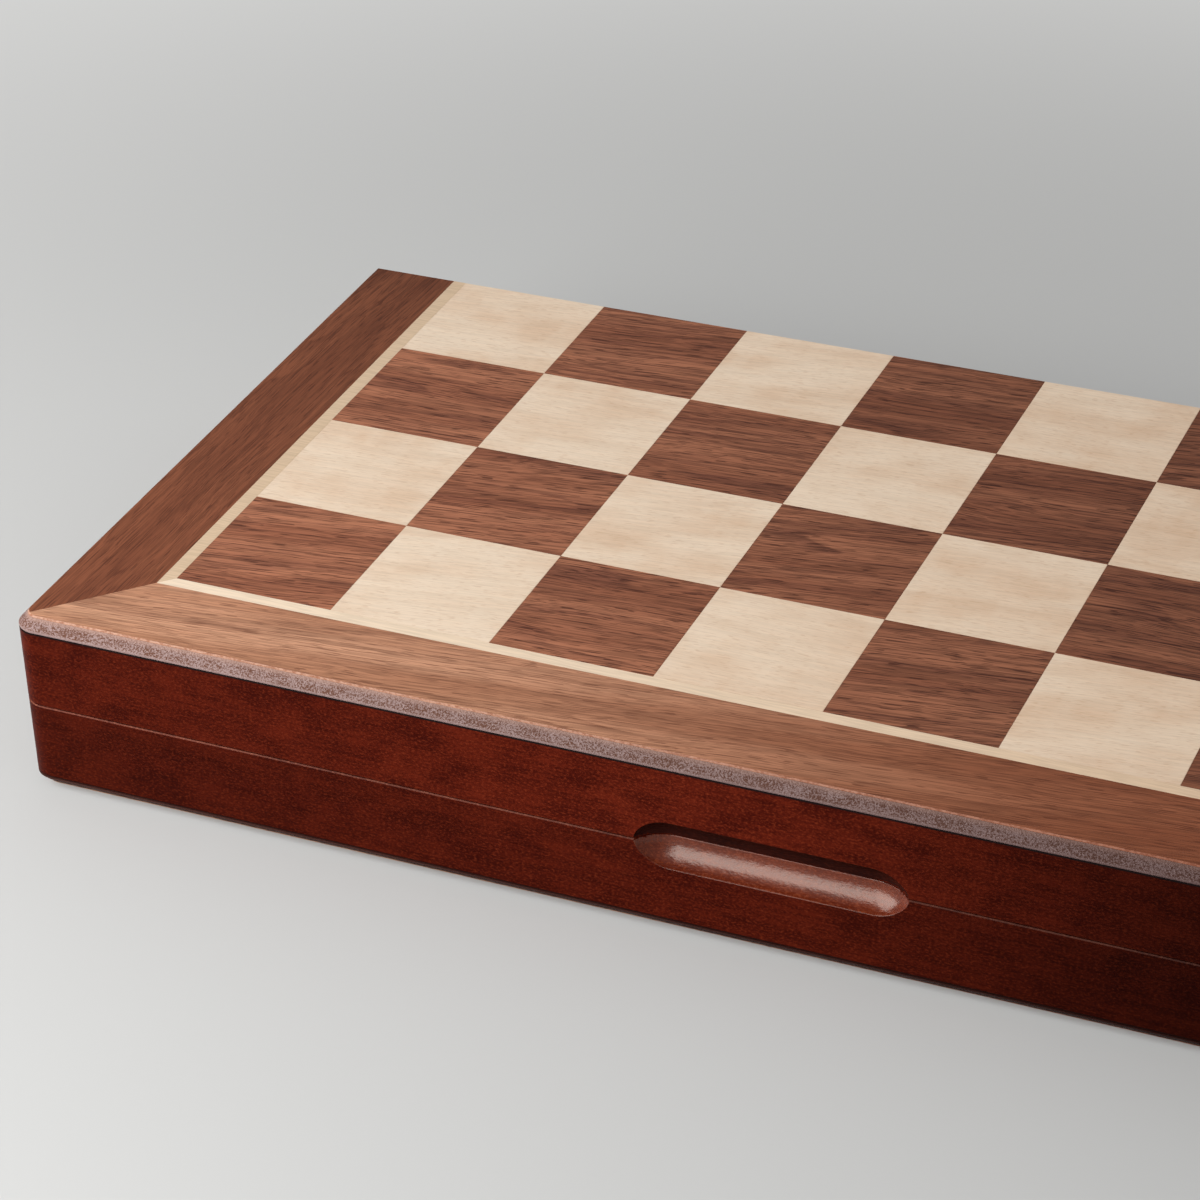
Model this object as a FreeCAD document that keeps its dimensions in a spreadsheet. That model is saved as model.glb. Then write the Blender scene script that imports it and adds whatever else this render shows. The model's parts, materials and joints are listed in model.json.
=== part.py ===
import FreeCAD
import Part
import math
import os
import Sketcher
from FreeCAD import Placement, Rotation, Vector

# A folding wooden case for chess and checkers, modelled shut. Two equal halves are hinged at the
# back, and each carries half of the board on its outer face. Millimetres, +Z up, front towards -Y.
# The origin is the middle of the lower playing face, on which the shut case stands.

doc = FreeCAD.newDocument("chess_and_checkers_set")

# Driving dimensions: alias, value, what it measures
SIZES = [
    ("square", "40", "side of one board square"),
    ("stringing_width", "3.4", "pale line round the squares"),
    ("border_width", "22.7", "dark border strips"),
    ("fold_trim", "1.4", "lost from the last row of squares where the board is sawn in two"),
    ("edge_bevel", "2.4", "bevel of the panel core outside the border strips"),
    ("core_thickness", "2.7", "panel core"),
    ("veneer_thickness", "0.4", "squares, stringing and border strips"),
    ("veneer_joint", "0.06", "gap between neighbouring squares"),
    ("veneer_arris", "0.3", "chamfer of the border strips' outer edge"),
    ("corner_round", "6", "plan radius of the two front corners"),
    ("frame_height", "20", "height of the walls of one half"),
    ("wall_thickness", "10", "thickness of the walls"),
    ("shadow_line", "0.4", "chamfer of the walls beside the panel"),
    ("rim_arris", "0.25", "chamfer of the walls' outer rim edge"),
    ("lid_gap", "0.2", "gap between the two rims"),
    ("recess_length", "63.6", "finger recess along the front"),
    ("recess_height", "12.4", "finger recess across both rims"),
    ("recess_depth", "4.5", "finger recess into the front"),
    ("recess_runout", "8.7", "each end of the recess, from its full depth to the front face"),
    ("recess_shift", "-1.65", "middle of the recess from the middle of the front"),
    ("hinge_spread", "230", "between the middles of the two hinges"),
    ("hinge_length", "36", "leaf and barrel along the axis"),
    ("middle_knuckle", "12", "length of the upper leaf's knuckle"),
    ("knuckle_gap", "0.2", "end play between two knuckles"),
    ("knuckle_radius", "2.4", "outside of the barrel"),
    ("axis_offset", "0.15", "hinge axis behind the back face"),
    ("leaf_inset", "1.5", "leaf edge from the wall's inner face"),
    ("leaf_thickness", "1", "hinge leaf"),
    ("pin_radius", "1.1", "hinge pin"),
    ("pin_head_radius", "1.8", "heads of the hinge pin"),
    ("pin_head_length", "0.8", "height of the pin's heads"),
    ("hinge_clearance", "0.3", "room round the moving knuckles"),
    ("fit_clearance", "0.05", "room of the pin, the leaves, the screws and the magnets"),
    ("screw_spread", "22", "between the two screws of a leaf"),
    ("screw_head_radius", "2", "countersunk head"),
    ("screw_radius", "1.1", "screw shank"),
    ("screw_length", "9", "screw with its head"),
    ("screw_slot_width", "0.6", "driver slot"),
    ("screw_slot_depth", "0.45", "driver slot"),
    ("magnet_spread", "240", "between the two magnets of a rim"),
    ("magnet_radius", "3", "disc magnet"),
    ("magnet_thickness", "3", "disc magnet"),
    ("tray_drop", "1", "tray face below the rim"),
    ("tray_clearance", "0.3", "room between the walls and the tray or the lining"),
    ("tray_floor", "1.2", "least thickness under a pocket"),
    ("axis_drop", "2", "axis of a stored piece below the tray face"),
    ("pocket_clearance", "0.3", "room round a stored piece"),
    ("lining_thickness", "1", "sheet inside the lid"),
    ("king_height", "66", "king without its felt"),
    ("king_base", "28", "foot of the king"),
    ("queen_height", "58", "queen without its felt"),
    ("queen_base", "27", "foot of the queen"),
    ("bishop_height", "48", "bishop without its felt"),
    ("bishop_base", "24", "foot of the bishop"),
    ("knight_height", "44", "knight without its felt"),
    ("knight_base", "25", "foot of the knight"),
    ("rook_height", "38", "rook without its felt"),
    ("rook_base", "24", "foot of the rook"),
    ("pawn_height", "33", "pawn without its felt"),
    ("pawn_base", "20", "foot of the pawn"),
    ("felt_thickness", "0.8", "felt disc under a chess piece"),
    ("felt_inset", "1", "felt disc inside the foot's edge"),
    ("cross_thickness", "2.4", "cross on the king"),
    ("coronet_notch", "1.3", "radius of the notches in the queen's coronet"),
    ("knight_thickness", "9", "knight's head from side to side"),
    ("rook_slot_width", "2.6", "slots in the rook's parapet"),
    ("rook_slot_depth", "2.8", "slots in the rook's parapet"),
    ("checker_width", "29", "diameter of a checker"),
    ("checker_height", "5.6", "thickness of a checker"),
    ("checker_round", "1.2", "rounded rim of a checker"),
    ("checker_ring", "9.5", "radius of the turned ring in its faces"),
    ("checker_ring_width", "2.6", "width of the turned ring"),
    ("checker_ring_depth", "0.6", "depth of the turned ring"),
    ("checker_gap", "0.05", "between two stacked checkers"),
    ("overrun", "2", "how far a cut runs past the solid"),
]
COLUMNS = 8
ROWS = 4
CHECKERS = 12
ROOK_SLOTS = 3
CORONET_NOTCHES = 8

sheet = doc.addObject("Spreadsheet::Sheet", "dim")
for row, (alias, text, note) in enumerate(SIZES, start=1):
    sheet.set(f"A{row}", note)
    sheet.set(f"B{row}", text)
    sheet.setAlias(f"B{row}", alias)
doc.recompute()

# Places that follow from the driving dimensions, as expressions
BORDER = "(dim.stringing_width + dim.border_width + dim.edge_bevel)"
HALF_LENGTH = f"({COLUMNS} / 2 * dim.square + {BORDER})"
HALF_DEPTH = f"(({ROWS} * dim.square - dim.fold_trim + {BORDER}) / 2)"
PANEL = "(dim.core_thickness + dim.veneer_thickness)"
HALF_HEIGHT = f"({PANEL} + dim.frame_height)"
TOTAL_HEIGHT = f"(2 * {HALF_HEIGHT} + dim.lid_gap)"
PARTING = f"({TOTAL_HEIGHT} / 2)"
INNER_LENGTH = f"(2 * ({HALF_LENGTH} - dim.wall_thickness))"
INNER_DEPTH = f"(2 * ({HALF_DEPTH} - dim.wall_thickness))"
AXIS_Y = f"({HALF_DEPTH} + dim.axis_offset)"
LEAF_EDGE = f"({HALF_DEPTH} - dim.wall_thickness + dim.leaf_inset)"
MID_BACK_WALL = f"({HALF_DEPTH} - dim.wall_thickness / 2)"
MID_FRONT_WALL = f"(dim.wall_thickness / 2 - {HALF_DEPTH})"
OUTER_KNUCKLE = "((dim.hinge_length - dim.middle_knuckle) / 2 - dim.knuckle_gap)"
TRAY_FACE = f"({HALF_HEIGHT} - dim.tray_drop)"

# Distances inside the case's outline
AT_OUTLINE = "0"
AT_WALL = "dim.wall_thickness"
AT_BORDER = "dim.edge_bevel"
AT_STRINGING = f"({BORDER} - dim.stringing_width)"
AT_SQUARES = BORDER

# Bulges: the tangent of a quarter of the angle that an arc turns through
EIGHTH_TURN = math.tan(math.radians(45 / 4))
QUARTER_TURN = math.tan(math.radians(90 / 4))
DIAGONAL_SHARE = math.sqrt(0.5)
BEVEL_LIMIT_SHARE = 0.95

# Turned outlines: share of the foot's radius, share of a height, bulge of the stretch that leads
# to the point. The foot's heights are shares of its radius, the others of the piece's height.
FOOT_SHARES = [
    (0.93, 0.0, 0),
    (1.0, 0.07, 0.35),
    (1.0, 0.24, 0),
    (0.90, 0.36, 0.35),
    (0.84, 0.36, 0),
    (0.84, 0.42, 0),
    (0.68, 0.58, 0.25),
]
BALL = "ball"
PROFILE_SHARES = {
    "king": [
        (0.36, 0.50, -0.16), (0.40, 0.51, 0), (0.60, 0.53, 0), (0.60, 0.55, 0.8), (0.42, 0.565, 0),
        (0.50, 0.575, 0), (0.50, 0.59, 0.8), (0.38, 0.60, 0), (0.60, 0.79, -0.1), (0.57, 0.82, 0.5),
        (0.20, 0.862, 0.18), (0.18, 0.88, 0), (0, 0.88, 0),
    ],
    "queen": [
        (0.34, 0.53, -0.16), (0.38, 0.54, 0), (0.58, 0.56, 0), (0.58, 0.585, 0.8), (0.40, 0.60, 0),
        (0.47, 0.61, 0), (0.47, 0.63, 0.8), (0.36, 0.645, 0), (0.64, 0.865, -0.16), (0.58, 0.895, 0.3),
        (0.48, 0.87, 0), (0.14, 0.915, 0.2), (0.12, 0.925, 0), (0, 1, BALL),
    ],
    "bishop": [
        (0.32, 0.50, -0.16), (0.36, 0.51, 0), (0.60, 0.535, 0), (0.60, 0.56, 0.8), (0.40, 0.575, 0),
        (0.47, 0.585, 0), (0.47, 0.605, 0.8), (0.32, 0.62, 0), (0.48, 0.73, 0.25), (0.14, 0.915, 0.2),
        (0.11, 0.925, 0), (0, 1, BALL),
    ],
    "knight": [(0.66, 0.19, 0), (0.72, 0.2, 0), (0.72, 0.23, 0.8), (0, 0.23, 0)],
    "rook": [
        (0.50, 0.60, -0.14), (0.54, 0.615, 0), (0.66, 0.63, 0), (0.66, 0.665, 0.8), (0.54, 0.68, 0),
        (0.68, 0.77, -0.3), (0.70, 0.79, 0), (0.70, 1, 0), (0.49, 1, 0), (0.49, 0.9, 0), (0, 0.9, 0),
    ],
    "pawn": [
        (0.31, 0.56, -0.2), (0.35, 0.575, 0), (0.60, 0.60, 0), (0.60, 0.635, 0.8), (0.37, 0.665, 0),
        (0, 1, BALL),
    ],
}
# Outlines in the middle plane of a piece: share of the foot's radius, share of the height, bulge
CROSS_SHARES = [
    (-0.075, 0.87), (0.075, 0.87), (0.055, 0.925), (0.19, 0.908), (0.19, 0.966), (0.055, 0.95),
    (0.085, 1), (-0.085, 1), (-0.055, 0.95), (-0.19, 0.966), (-0.19, 0.908), (-0.055, 0.925),
]
MITRE_CUT_SHARES = [(0.04, 0.75), (0.7, 0.868), (0.66, 0.892), (0, 0.774)]
KNIGHT_HEAD_SHARES = [
    (-0.5, 0.12), (0.58, 0.12), (0.68, 0.45, 0.08), (0.5, 0.74, 0.12), (0.16, 0.91, 0.12), (0.05, 1),
    (-0.09, 0.905), (-0.3, 0.85, 0.1), (-0.8, 0.625, -0.04), (-0.88, 0.545, 0.3), (-0.76, 0.485, 0.35),
    (-0.57, 0.508), (-0.4, 0.465, 0.25), (-0.14, 0.54, -0.15), (-0.26, 0.4, -0.12), (-0.54, 0.29, 0.05),
]
KNIGHT_MIDDLE_SHARES = (-0.05, 0.58)
KNIGHT_CHEEK_SHARE = 0.86
KNIGHT_FULL_SHARE = 0.45
CORONET_SHARE = 0.9
CORONET_START_SHARE = 0.45

# What each column of the tray holds, from the left, each from the front to the back
TRAY_COLUMNS = [
    ("light", ("king", "queen")),
    ("light", ("bishop", "knight", "rook")),
    ("light", ("rook", "knight", "bishop")),
    ("light", ("pawn",) * 4),
    ("light", ("pawn",) * 4),
    ("either", ("light_checkers", "dark_checkers")),
    ("dark", ("pawn",) * 4),
    ("dark", ("pawn",) * 4),
    ("dark", ("bishop", "knight", "rook")),
    ("dark", ("rook", "knight", "bishop")),
    ("dark", ("king", "queen")),
]
COLOURS = ("light", "dark")
PAIRED = ("bishop", "knight", "rook")
SIDES = ("left", "right")


def number(expression):
    """The value of an expression with the sheet's present sizes."""
    return float(sheet.evalExpression(expression))


def sign_of(side):
    """-1 on the left, 1 on the right."""
    return -1 if side == "left" else 1


class Half:
    """One half of the case. Depths are measured from its playing face towards the other half."""

    def __init__(self, name, faces_up):
        self.name = name
        self.faces_up = faces_up

    def level(self, depth):
        """The height of the plane at a depth inside the half's playing face."""
        return f"({TOTAL_HEIGHT} - {depth})" if self.faces_up else f"({depth})"


LOWER = Half("lower", False)
UPPER = Half("upper", True)
HALVES = (LOWER, UPPER)


# Sketches and features

def new_body(name):
    """An empty body with a name of its own."""
    body = doc.addObject("PartDesign::Body", name)
    body.Label = name
    return body


def new_sketch(body, name, role, x="0", y="0", lift="0"):
    """A sketch on an origin plane of the body, its origin moved along the plane and off it."""
    sketch = body.newObject("Sketcher::SketchObject", name)
    plane = next(item for item in body.Origin.OriginFeatures if item.Role == role)
    sketch.AttachmentSupport = [(plane, "")]
    sketch.MapMode = "FlatFace"
    for axis, expression in zip("xyz", (x, y, lift)):
        sketch.setExpression(f"AttachmentOffset.Base.{axis}", expression)
    return sketch


def bound(sketch, constraint, expression):
    """Adds a dimension that follows an expression."""
    index = sketch.addConstraint(constraint)
    sketch.setExpression(f"Constraints[{index}]", expression)


def pin_point(sketch, geometry, end, x, y):
    """Holds an end of a sketch line at a place given by two expressions."""
    for kind, axis, expression in (("DistanceX", -2, x), ("DistanceY", -1, y)):
        distance = number(expression)
        if abs(distance) < FreeCAD.Base.Precision.confusion():
            sketch.addConstraint(Sketcher.Constraint("PointOnObject", geometry, end, axis))
        else:
            bound(sketch, Sketcher.Constraint(kind, -1, 1, geometry, end, distance), expression)


def bulged_arc(start, end, bulge):
    """The arc between two points; a positive bulge turns to the left on its way."""
    chord = end - start
    height = chord.Length / 2 / math.tan(2 * math.atan(bulge))
    leftward = Vector(-chord.y, chord.x, 0).normalize()
    centre = (start + end) / 2 + leftward * height
    circle = Part.Circle(centre, Vector(0, 0, 1), (start - centre).Length)
    first, last = (start, end) if bulge > 0 else (end, start)
    return Part.ArcOfCircle(circle, circle.parameter(first), circle.parameter(last))


def dome_bulge(rise, radius):
    """The bulge of an arc that closes a turned piece with a round cap of that rise and radius."""
    return math.tan(math.atan2(rise, radius) / 2)


def draw_outline(sketch, corners):
    """A closed outline through corners of two expressions, and the bulge of the way to each."""
    first = sketch.GeometryCount
    count = len(corners)
    points = [Vector(number(corner[0]), number(corner[1]), 0) for corner in corners]
    starts = []
    for index in range(count):
        following = corners[(index + 1) % count]
        bulge = following[2] if len(following) > 2 else 0
        start = points[index]
        end = points[(index + 1) % count]
        sketch.addGeometry(bulged_arc(start, end, bulge) if bulge else Part.LineSegment(start, end), False)
        starts.append(2 if bulge < 0 else 1)
    for index in range(count):
        corner = corners[index]
        previous = (index - 1) % count
        sketch.addConstraint(Sketcher.Constraint(
            "Coincident", first + previous, 3 - starts[previous], first + index, starts[index]))
        pin_point(sketch, first + index, starts[index], corner[0], corner[1])
    for index in range(count):
        corner = corners[index]
        if len(corner) > 2 and corner[2]:
            before = corners[index - 1]
            chord = f"sqrt(({corner[0]} - ({before[0]}))^2 + ({corner[1]} - ({before[1]}))^2)"
            radius = f"{chord} * {(1 + corner[2] ** 2) / (4 * abs(corner[2]))}"
            arc = first + (index - 1) % count
            bound(sketch, Sketcher.Constraint("Radius", arc, number(radius)), radius)


def draw_circle(sketch, x, y, radius):
    """A circle whose middle and radius follow expressions."""
    middle = Vector(number(x), number(y), 0)
    index = sketch.addGeometry(Part.Circle(middle, Vector(0, 0, 1), number(radius)), False)
    pin_point(sketch, index, 3, x, y)
    bound(sketch, Sketcher.Constraint("Radius", index, number(radius)), radius)


def rectangle(x_low, x_high, y_low, y_high):
    """The corners of an upright rectangle."""
    return [(x_low, y_low), (x_high, y_low), (x_high, y_high), (x_low, y_high)]


def extrude(body, kind, sketch, length, reverse=False, both_ways=False):
    """A Pad or a Pocket of a sketch."""
    feature = body.newObject(f"PartDesign::{kind}", kind.lower())
    feature.Profile = sketch
    feature.setExpression("Length", length)
    feature.Reversed = reverse
    feature.SideType = "Symmetric" if both_ways else "One side"
    return feature


def turn(body, kind, sketch, axis):
    """A full Revolution or Groove of a sketch about its H_Axis or V_Axis."""
    feature = body.newObject(f"PartDesign::{kind}", kind.lower())
    feature.Profile = sketch
    feature.ReferenceAxis = (sketch, [axis])
    feature.Angle = 360
    return feature


def dress(body, kind, dimension, expression, chosen):
    """A Fillet or Chamfer on the edges of the body's last feature whose boxes are chosen."""
    doc.recompute()
    base = body.Tip
    edges = [f"Edge{index}" for index, edge in enumerate(base.Shape.Edges, start=1) if chosen(edge.BoundBox)]
    feature = body.newObject(f"PartDesign::{kind}", kind.lower())
    feature.Base = (base, edges)
    feature.setExpression(dimension, expression)
    return feature


def polar_copies(body, feature, sketch, count):
    """Repeats a feature round the sketch's origin."""
    pattern = body.newObject("PartDesign::PolarPattern", "pattern")
    pattern.Originals = [feature]
    pattern.Axis = (sketch, ["N_Axis"])
    pattern.Angle = 360
    pattern.Occurrences = count
    body.Tip = pattern


def copy_of(source, name, placement):
    """A placed copy of a master solid."""
    link = doc.addObject("App::Link", name)
    link.Label = name
    link.LinkedObject = source
    link.Placement = placement
    return link


def group_of(name, members):
    """Separate solids that share one node."""
    group = doc.addObject("Part::Compound", name)
    group.Label = name
    group.Links = members
    return group


def primitive(kind, name, **expressions):
    """A Part primitive with its sizes and its place bound to expressions."""
    solid = doc.addObject(f"Part::{kind}", name)
    solid.Label = name
    for key, expression in expressions.items():
        path = f"Placement.Base.{key}" if key in ("x", "y", "z") else key
        solid.setExpression(path, expression)
    return solid


# Board panels and frames

def front_plan(outer, inner, rounded):
    """The front member of a mitred frame, between two distances inside the case's outline."""
    corner = f"(dim.corner_round - {outer})"
    outer_x = f"({HALF_LENGTH} - {outer})"
    outer_y = f"({outer} - {HALF_DEPTH})"
    inner_x = f"({HALF_LENGTH} - {inner})"
    inner_y = f"({inner} - {HALF_DEPTH})"
    inside = [(inner_x, inner_y), (f"-{inner_x}", inner_y)]
    if not rounded:
        return [(f"-{outer_x}", outer_y), (outer_x, outer_y)] + inside
    drawn_in = f"{1 - DIAGONAL_SHARE} * {corner}"
    start = (f"{corner} - {outer_x}", outer_y, EIGHTH_TURN)
    end = (f"{outer_x} - {corner}", outer_y)
    right = (f"{outer_x} - {drawn_in}", f"{outer_y} + {drawn_in}", EIGHTH_TURN)
    left = (f"{drawn_in} - {outer_x}", f"{outer_y} + {drawn_in}")
    return [start, end, right] + inside + [left]


def side_plan(side, outer, inner, rounded, mitred_back):
    """The left or right member of a mitred frame, square or mitred at the back."""
    corner = f"(dim.corner_round - {outer})"
    sign = sign_of(side)
    outer_x = f"{sign} * ({HALF_LENGTH} - {outer})"
    inner_x = f"{sign} * ({HALF_LENGTH} - {inner})"
    outer_y = f"({outer} - {HALF_DEPTH})"
    inner_back = f"({HALF_DEPTH} - {inner})" if mitred_back else HALF_DEPTH
    inside = [(outer_x, HALF_DEPTH), (inner_x, inner_back), (inner_x, f"{inner} - {HALF_DEPTH}")]
    if not rounded:
        return inside + [(outer_x, outer_y)]
    drawn_in = f"{1 - DIAGONAL_SHARE} * {corner}"
    middle = (f"{sign} * ({HALF_LENGTH} - {outer} - {drawn_in})", f"{outer_y} + {drawn_in}")
    start = (outer_x, f"{outer_y} + {corner}", sign * EIGHTH_TURN)
    return [start] + inside + [middle]


def back_plan(inner):
    """The back member of a mitred frame, flush with the back face."""
    inner_x = f"({HALF_LENGTH} - {inner})"
    inner_y = f"({HALF_DEPTH} - {inner})"
    return [
        (f"-{HALF_LENGTH}", HALF_DEPTH),
        (HALF_LENGTH, HALF_DEPTH),
        (inner_x, inner_y),
        (f"-{inner_x}", inner_y),
    ]


def slab(name, half, plan, depth, thickness):
    """A plan outline padded inwards from a depth inside the half's playing face."""
    body = new_body(name)
    sketch = new_sketch(body, "plan", "XY_Plane", lift=half.level(depth))
    draw_outline(sketch, plan)
    extrude(body, "Pad", sketch, thickness, reverse=half.faces_up)
    return body


def panel_core(half):
    """The board under the veneers, its edge bevelled except at the back."""
    corner = "dim.corner_round"
    plan = [
        (f"{corner} - {HALF_LENGTH}", f"-{HALF_DEPTH}", QUARTER_TURN),
        (f"{HALF_LENGTH} - {corner}", f"-{HALF_DEPTH}"),
        (HALF_LENGTH, f"{corner} - {HALF_DEPTH}", QUARTER_TURN),
        (HALF_LENGTH, HALF_DEPTH),
        (f"-{HALF_LENGTH}", HALF_DEPTH),
        (f"-{HALF_LENGTH}", f"{corner} - {HALF_DEPTH}"),
    ]
    body = slab(f"{half.name}_panel_core", half, plan, "dim.veneer_thickness", "dim.core_thickness")
    outer_face = number(half.level("dim.veneer_thickness"))
    back = number(HALF_DEPTH)
    near = number("dim.veneer_joint")

    def outer_edge(box):
        on_face = abs(box.ZMin - outer_face) < near and abs(box.ZMax - outer_face) < near
        return on_face and box.YMin < back - near

    limit = f"{BEVEL_LIMIT_SHARE} * min(dim.core_thickness; dim.corner_round)"
    dress(body, "Chamfer", "Size", f"min(dim.edge_bevel; {limit})", outer_edge)
    return body


def border_strips(half):
    """The three dark strips round the squares, mitred at the front corners."""
    plans = {"front": front_plan(AT_BORDER, AT_STRINGING, True)}
    for side in SIDES:
        plans[side] = side_plan(side, AT_BORDER, AT_STRINGING, True, False)
    strips = []
    for side, plan in plans.items():
        strip = slab(f"{half.name}_border_{side}", half, plan, "0", "dim.veneer_thickness")
        soften_outside(strip, side, half.level("0"), "min(dim.veneer_arris; dim.veneer_thickness)")
        strips.append(strip)
    return strips


def stringing(half):
    """The three pale strips between the squares and the border."""
    plans = {"front": front_plan(AT_STRINGING, AT_SQUARES, False)}
    for side in SIDES:
        plans[side] = side_plan(side, AT_STRINGING, AT_SQUARES, False, False)
    strips = [
        slab(f"{half.name}_stringing_{side}", half, plan, "0", "dim.veneer_thickness")
        for side, plan in plans.items()
    ]
    return group_of(f"{half.name}_stringing", strips)


def squares(half):
    """The veneer squares of one half, dark and light in turn, the last row trimmed at the hinges."""
    tiles = {"dark": [], "light": []}
    side = "dim.square - dim.veneer_joint"
    height = "dim.veneer_thickness"
    for column in range(COLUMNS):
        for row in range(ROWS):
            dark = (column + row) % 2 == (0 if half.faces_up else 1)
            colour = "dark" if dark else "light"
            tile = primitive(
                "Box", f"{half.name}_{colour}_square_{column}_{row}", Length=side,
                Width=f"{side} - dim.fold_trim" if row == ROWS - 1 else side, Height=height,
                x=f"{column - COLUMNS / 2} * dim.square + dim.veneer_joint / 2",
                y=f"{BORDER} - {HALF_DEPTH} + {row} * dim.square + dim.veneer_joint / 2",
                z=f"{TOTAL_HEIGHT} - {height}" if half.faces_up else "0")
            tiles[colour].append(tile)
    return [group_of(f"{half.name}_{colour}_squares", tiles[colour]) for colour in COLOURS]


def soften_outside(body, side, height, size):
    """Chamfers the outer edge of a wall or strip at one height, round the front corners too."""
    level = number(height)
    near = number("dim.veneer_joint")
    reach = number("dim.corner_round + dim.edge_bevel")
    across = number(HALF_LENGTH)
    front = -number(HALF_DEPTH)
    inside = {
        "front": lambda box: box.YMax - front,
        "left": lambda box: box.XMax + across,
        "right": lambda box: across - box.XMin,
    }

    def outer_edge(box):
        level_edge = abs(box.ZMin - level) < near and abs(box.ZMax - level) < near
        return level_edge and inside[side](box) < reach

    dress(body, "Chamfer", "Size", size, outer_edge)


def wall(half, side, plan):
    """One wall of a half's frame, with a fine chamfer along its outer edges."""
    body = slab(f"{half.name}_wall_{side}", half, plan, PANEL, "dim.frame_height")
    if side != "back":
        soften_outside(body, side, half.level(PANEL), "dim.shadow_line")
        soften_outside(body, side, half.level(HALF_HEIGHT), "dim.rim_arris")
    return body


def cap_radius(rise, half_width):
    """The radius of a circle's segment of that rise and half width."""
    return f"(({half_width}^2 + {rise}^2) / (2 * {rise}))"


def cut_finger_recess(body):
    """Hollows half of the finger recess: a cove that runs out at both ends, on the parting plane."""
    depth = "dim.recess_depth"
    radius = cap_radius(depth, "(dim.recess_height / 2)")
    end_radius = cap_radius(depth, "dim.recess_runout")
    straight = "(dim.recess_length / 2 - dim.recess_runout)"
    run = f"sqrt(2 * {end_radius} * {radius} - {radius}^2)"
    bulge = dome_bulge(number(radius), number(run))
    axis_y = f"{depth} - {radius} - {HALF_DEPTH}"
    sketch = new_sketch(body, "recess", "XY_Plane", x="dim.recess_shift", y=axis_y, lift=PARTING)
    draw_outline(sketch, [
        (f"{straight} + {run}", "0"),
        (straight, radius, bulge),
        (f"-{straight}", radius),
        (f"-({straight} + {run})", "0", bulge),
    ])
    turn(body, "Groove", sketch, "H_Axis")


def cut_magnet_holes(body, half):
    """Two blind holes in the front rim."""
    sketch = new_sketch(body, "magnet_holes", "XY_Plane", lift=half.level(HALF_HEIGHT))
    for side in SIDES:
        x = f"{sign_of(side)} * dim.magnet_spread / 2"
        draw_circle(sketch, x, MID_FRONT_WALL, "dim.magnet_radius + dim.fit_clearance")
    extrude(body, "Pocket", sketch, "dim.magnet_thickness", reverse=half.faces_up)


def cut_screw_hole(body, half, x):
    """A countersunk hole for a hinge screw, from the rim into the half."""
    direction = 1 if half.faces_up else -1
    sketch = new_sketch(
        body, "screw_hole", "XZ_Plane", x=x, y=half.level(HALF_HEIGHT), lift=f"-{MID_BACK_WALL}")
    draw_outline(sketch, screw_outline(direction, "dim.fit_clearance"))
    turn(body, "Groove", sketch, "V_Axis")


def screw_outline(direction, clearance):
    """Half of a countersunk screw's section, its head at zero, with a clearance all round."""
    head_depth = "(dim.screw_head_radius - dim.screw_radius)"
    tip = f"{direction} * (dim.screw_length + {clearance})"
    return [
        ("0", "0"),
        (f"dim.screw_head_radius + {clearance}", "0"),
        (f"dim.screw_radius + {clearance}", f"{direction} * {head_depth}"),
        (f"dim.screw_radius + {clearance}", tip),
        ("0", tip),
    ]


def screw_places(side):
    """Where the two screws of a leaf stand along the hinge."""
    middle = hinge_middle(side)
    return [f"{middle} - dim.screw_spread / 2", f"{middle} + dim.screw_spread / 2"]


def hinge_middle(side):
    """Where the middle of a hinge stands along the back."""
    return f"{sign_of(side)} * dim.hinge_spread / 2"


def cut_hinge_seats(body, half):
    """Mortises for the leaves, clearance for the barrels and holes for the screws."""
    clear_half = "(dim.hinge_length / 2 + dim.fit_clearance)"
    mortises = new_sketch(body, "mortises", "XY_Plane", lift=half.level(HALF_HEIGHT))
    for side in SIDES:
        middle = hinge_middle(side)
        draw_outline(mortises, rectangle(
            f"{middle} - {clear_half}", f"{middle} + {clear_half}",
            f"{LEAF_EDGE} - dim.fit_clearance", f"{HALF_DEPTH} + dim.overrun"))
    extrude(body, "Pocket", mortises, "dim.leaf_thickness", reverse=half.faces_up)
    for side in SIDES:
        notch = new_sketch(body, "barrel_notch", "YZ_Plane", lift=hinge_middle(side))
        draw_circle(notch, AXIS_Y, PARTING, "dim.knuckle_radius + dim.hinge_clearance")
        length = "dim.hinge_length + 2 * (dim.pin_head_length + dim.hinge_clearance)"
        extrude(body, "Pocket", notch, length, both_ways=True)
        for x in screw_places(side):
            cut_screw_hole(body, half, x)


def frame(half):
    """The four walls of one half."""
    front = wall(half, "front", front_plan(AT_OUTLINE, AT_WALL, True))
    cut_finger_recess(front)
    cut_magnet_holes(front, half)
    back = wall(half, "back", back_plan(AT_WALL))
    cut_hinge_seats(back, half)
    sides = [wall(half, side, side_plan(side, AT_OUTLINE, AT_WALL, True, True)) for side in SIDES]
    return [front, back] + sides


# Hinges, screws and magnets

def knuckle_spans(half):
    """The middles and lengths of a leaf's knuckles, along the axis from the hinge's middle."""
    if half.faces_up:
        return [("0", "dim.middle_knuckle")]
    outer = f"(dim.hinge_length / 2 - {OUTER_KNUCKLE} / 2)"
    return [(f"-{outer}", OUTER_KNUCKLE), (outer, OUTER_KNUCKLE)]


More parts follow.
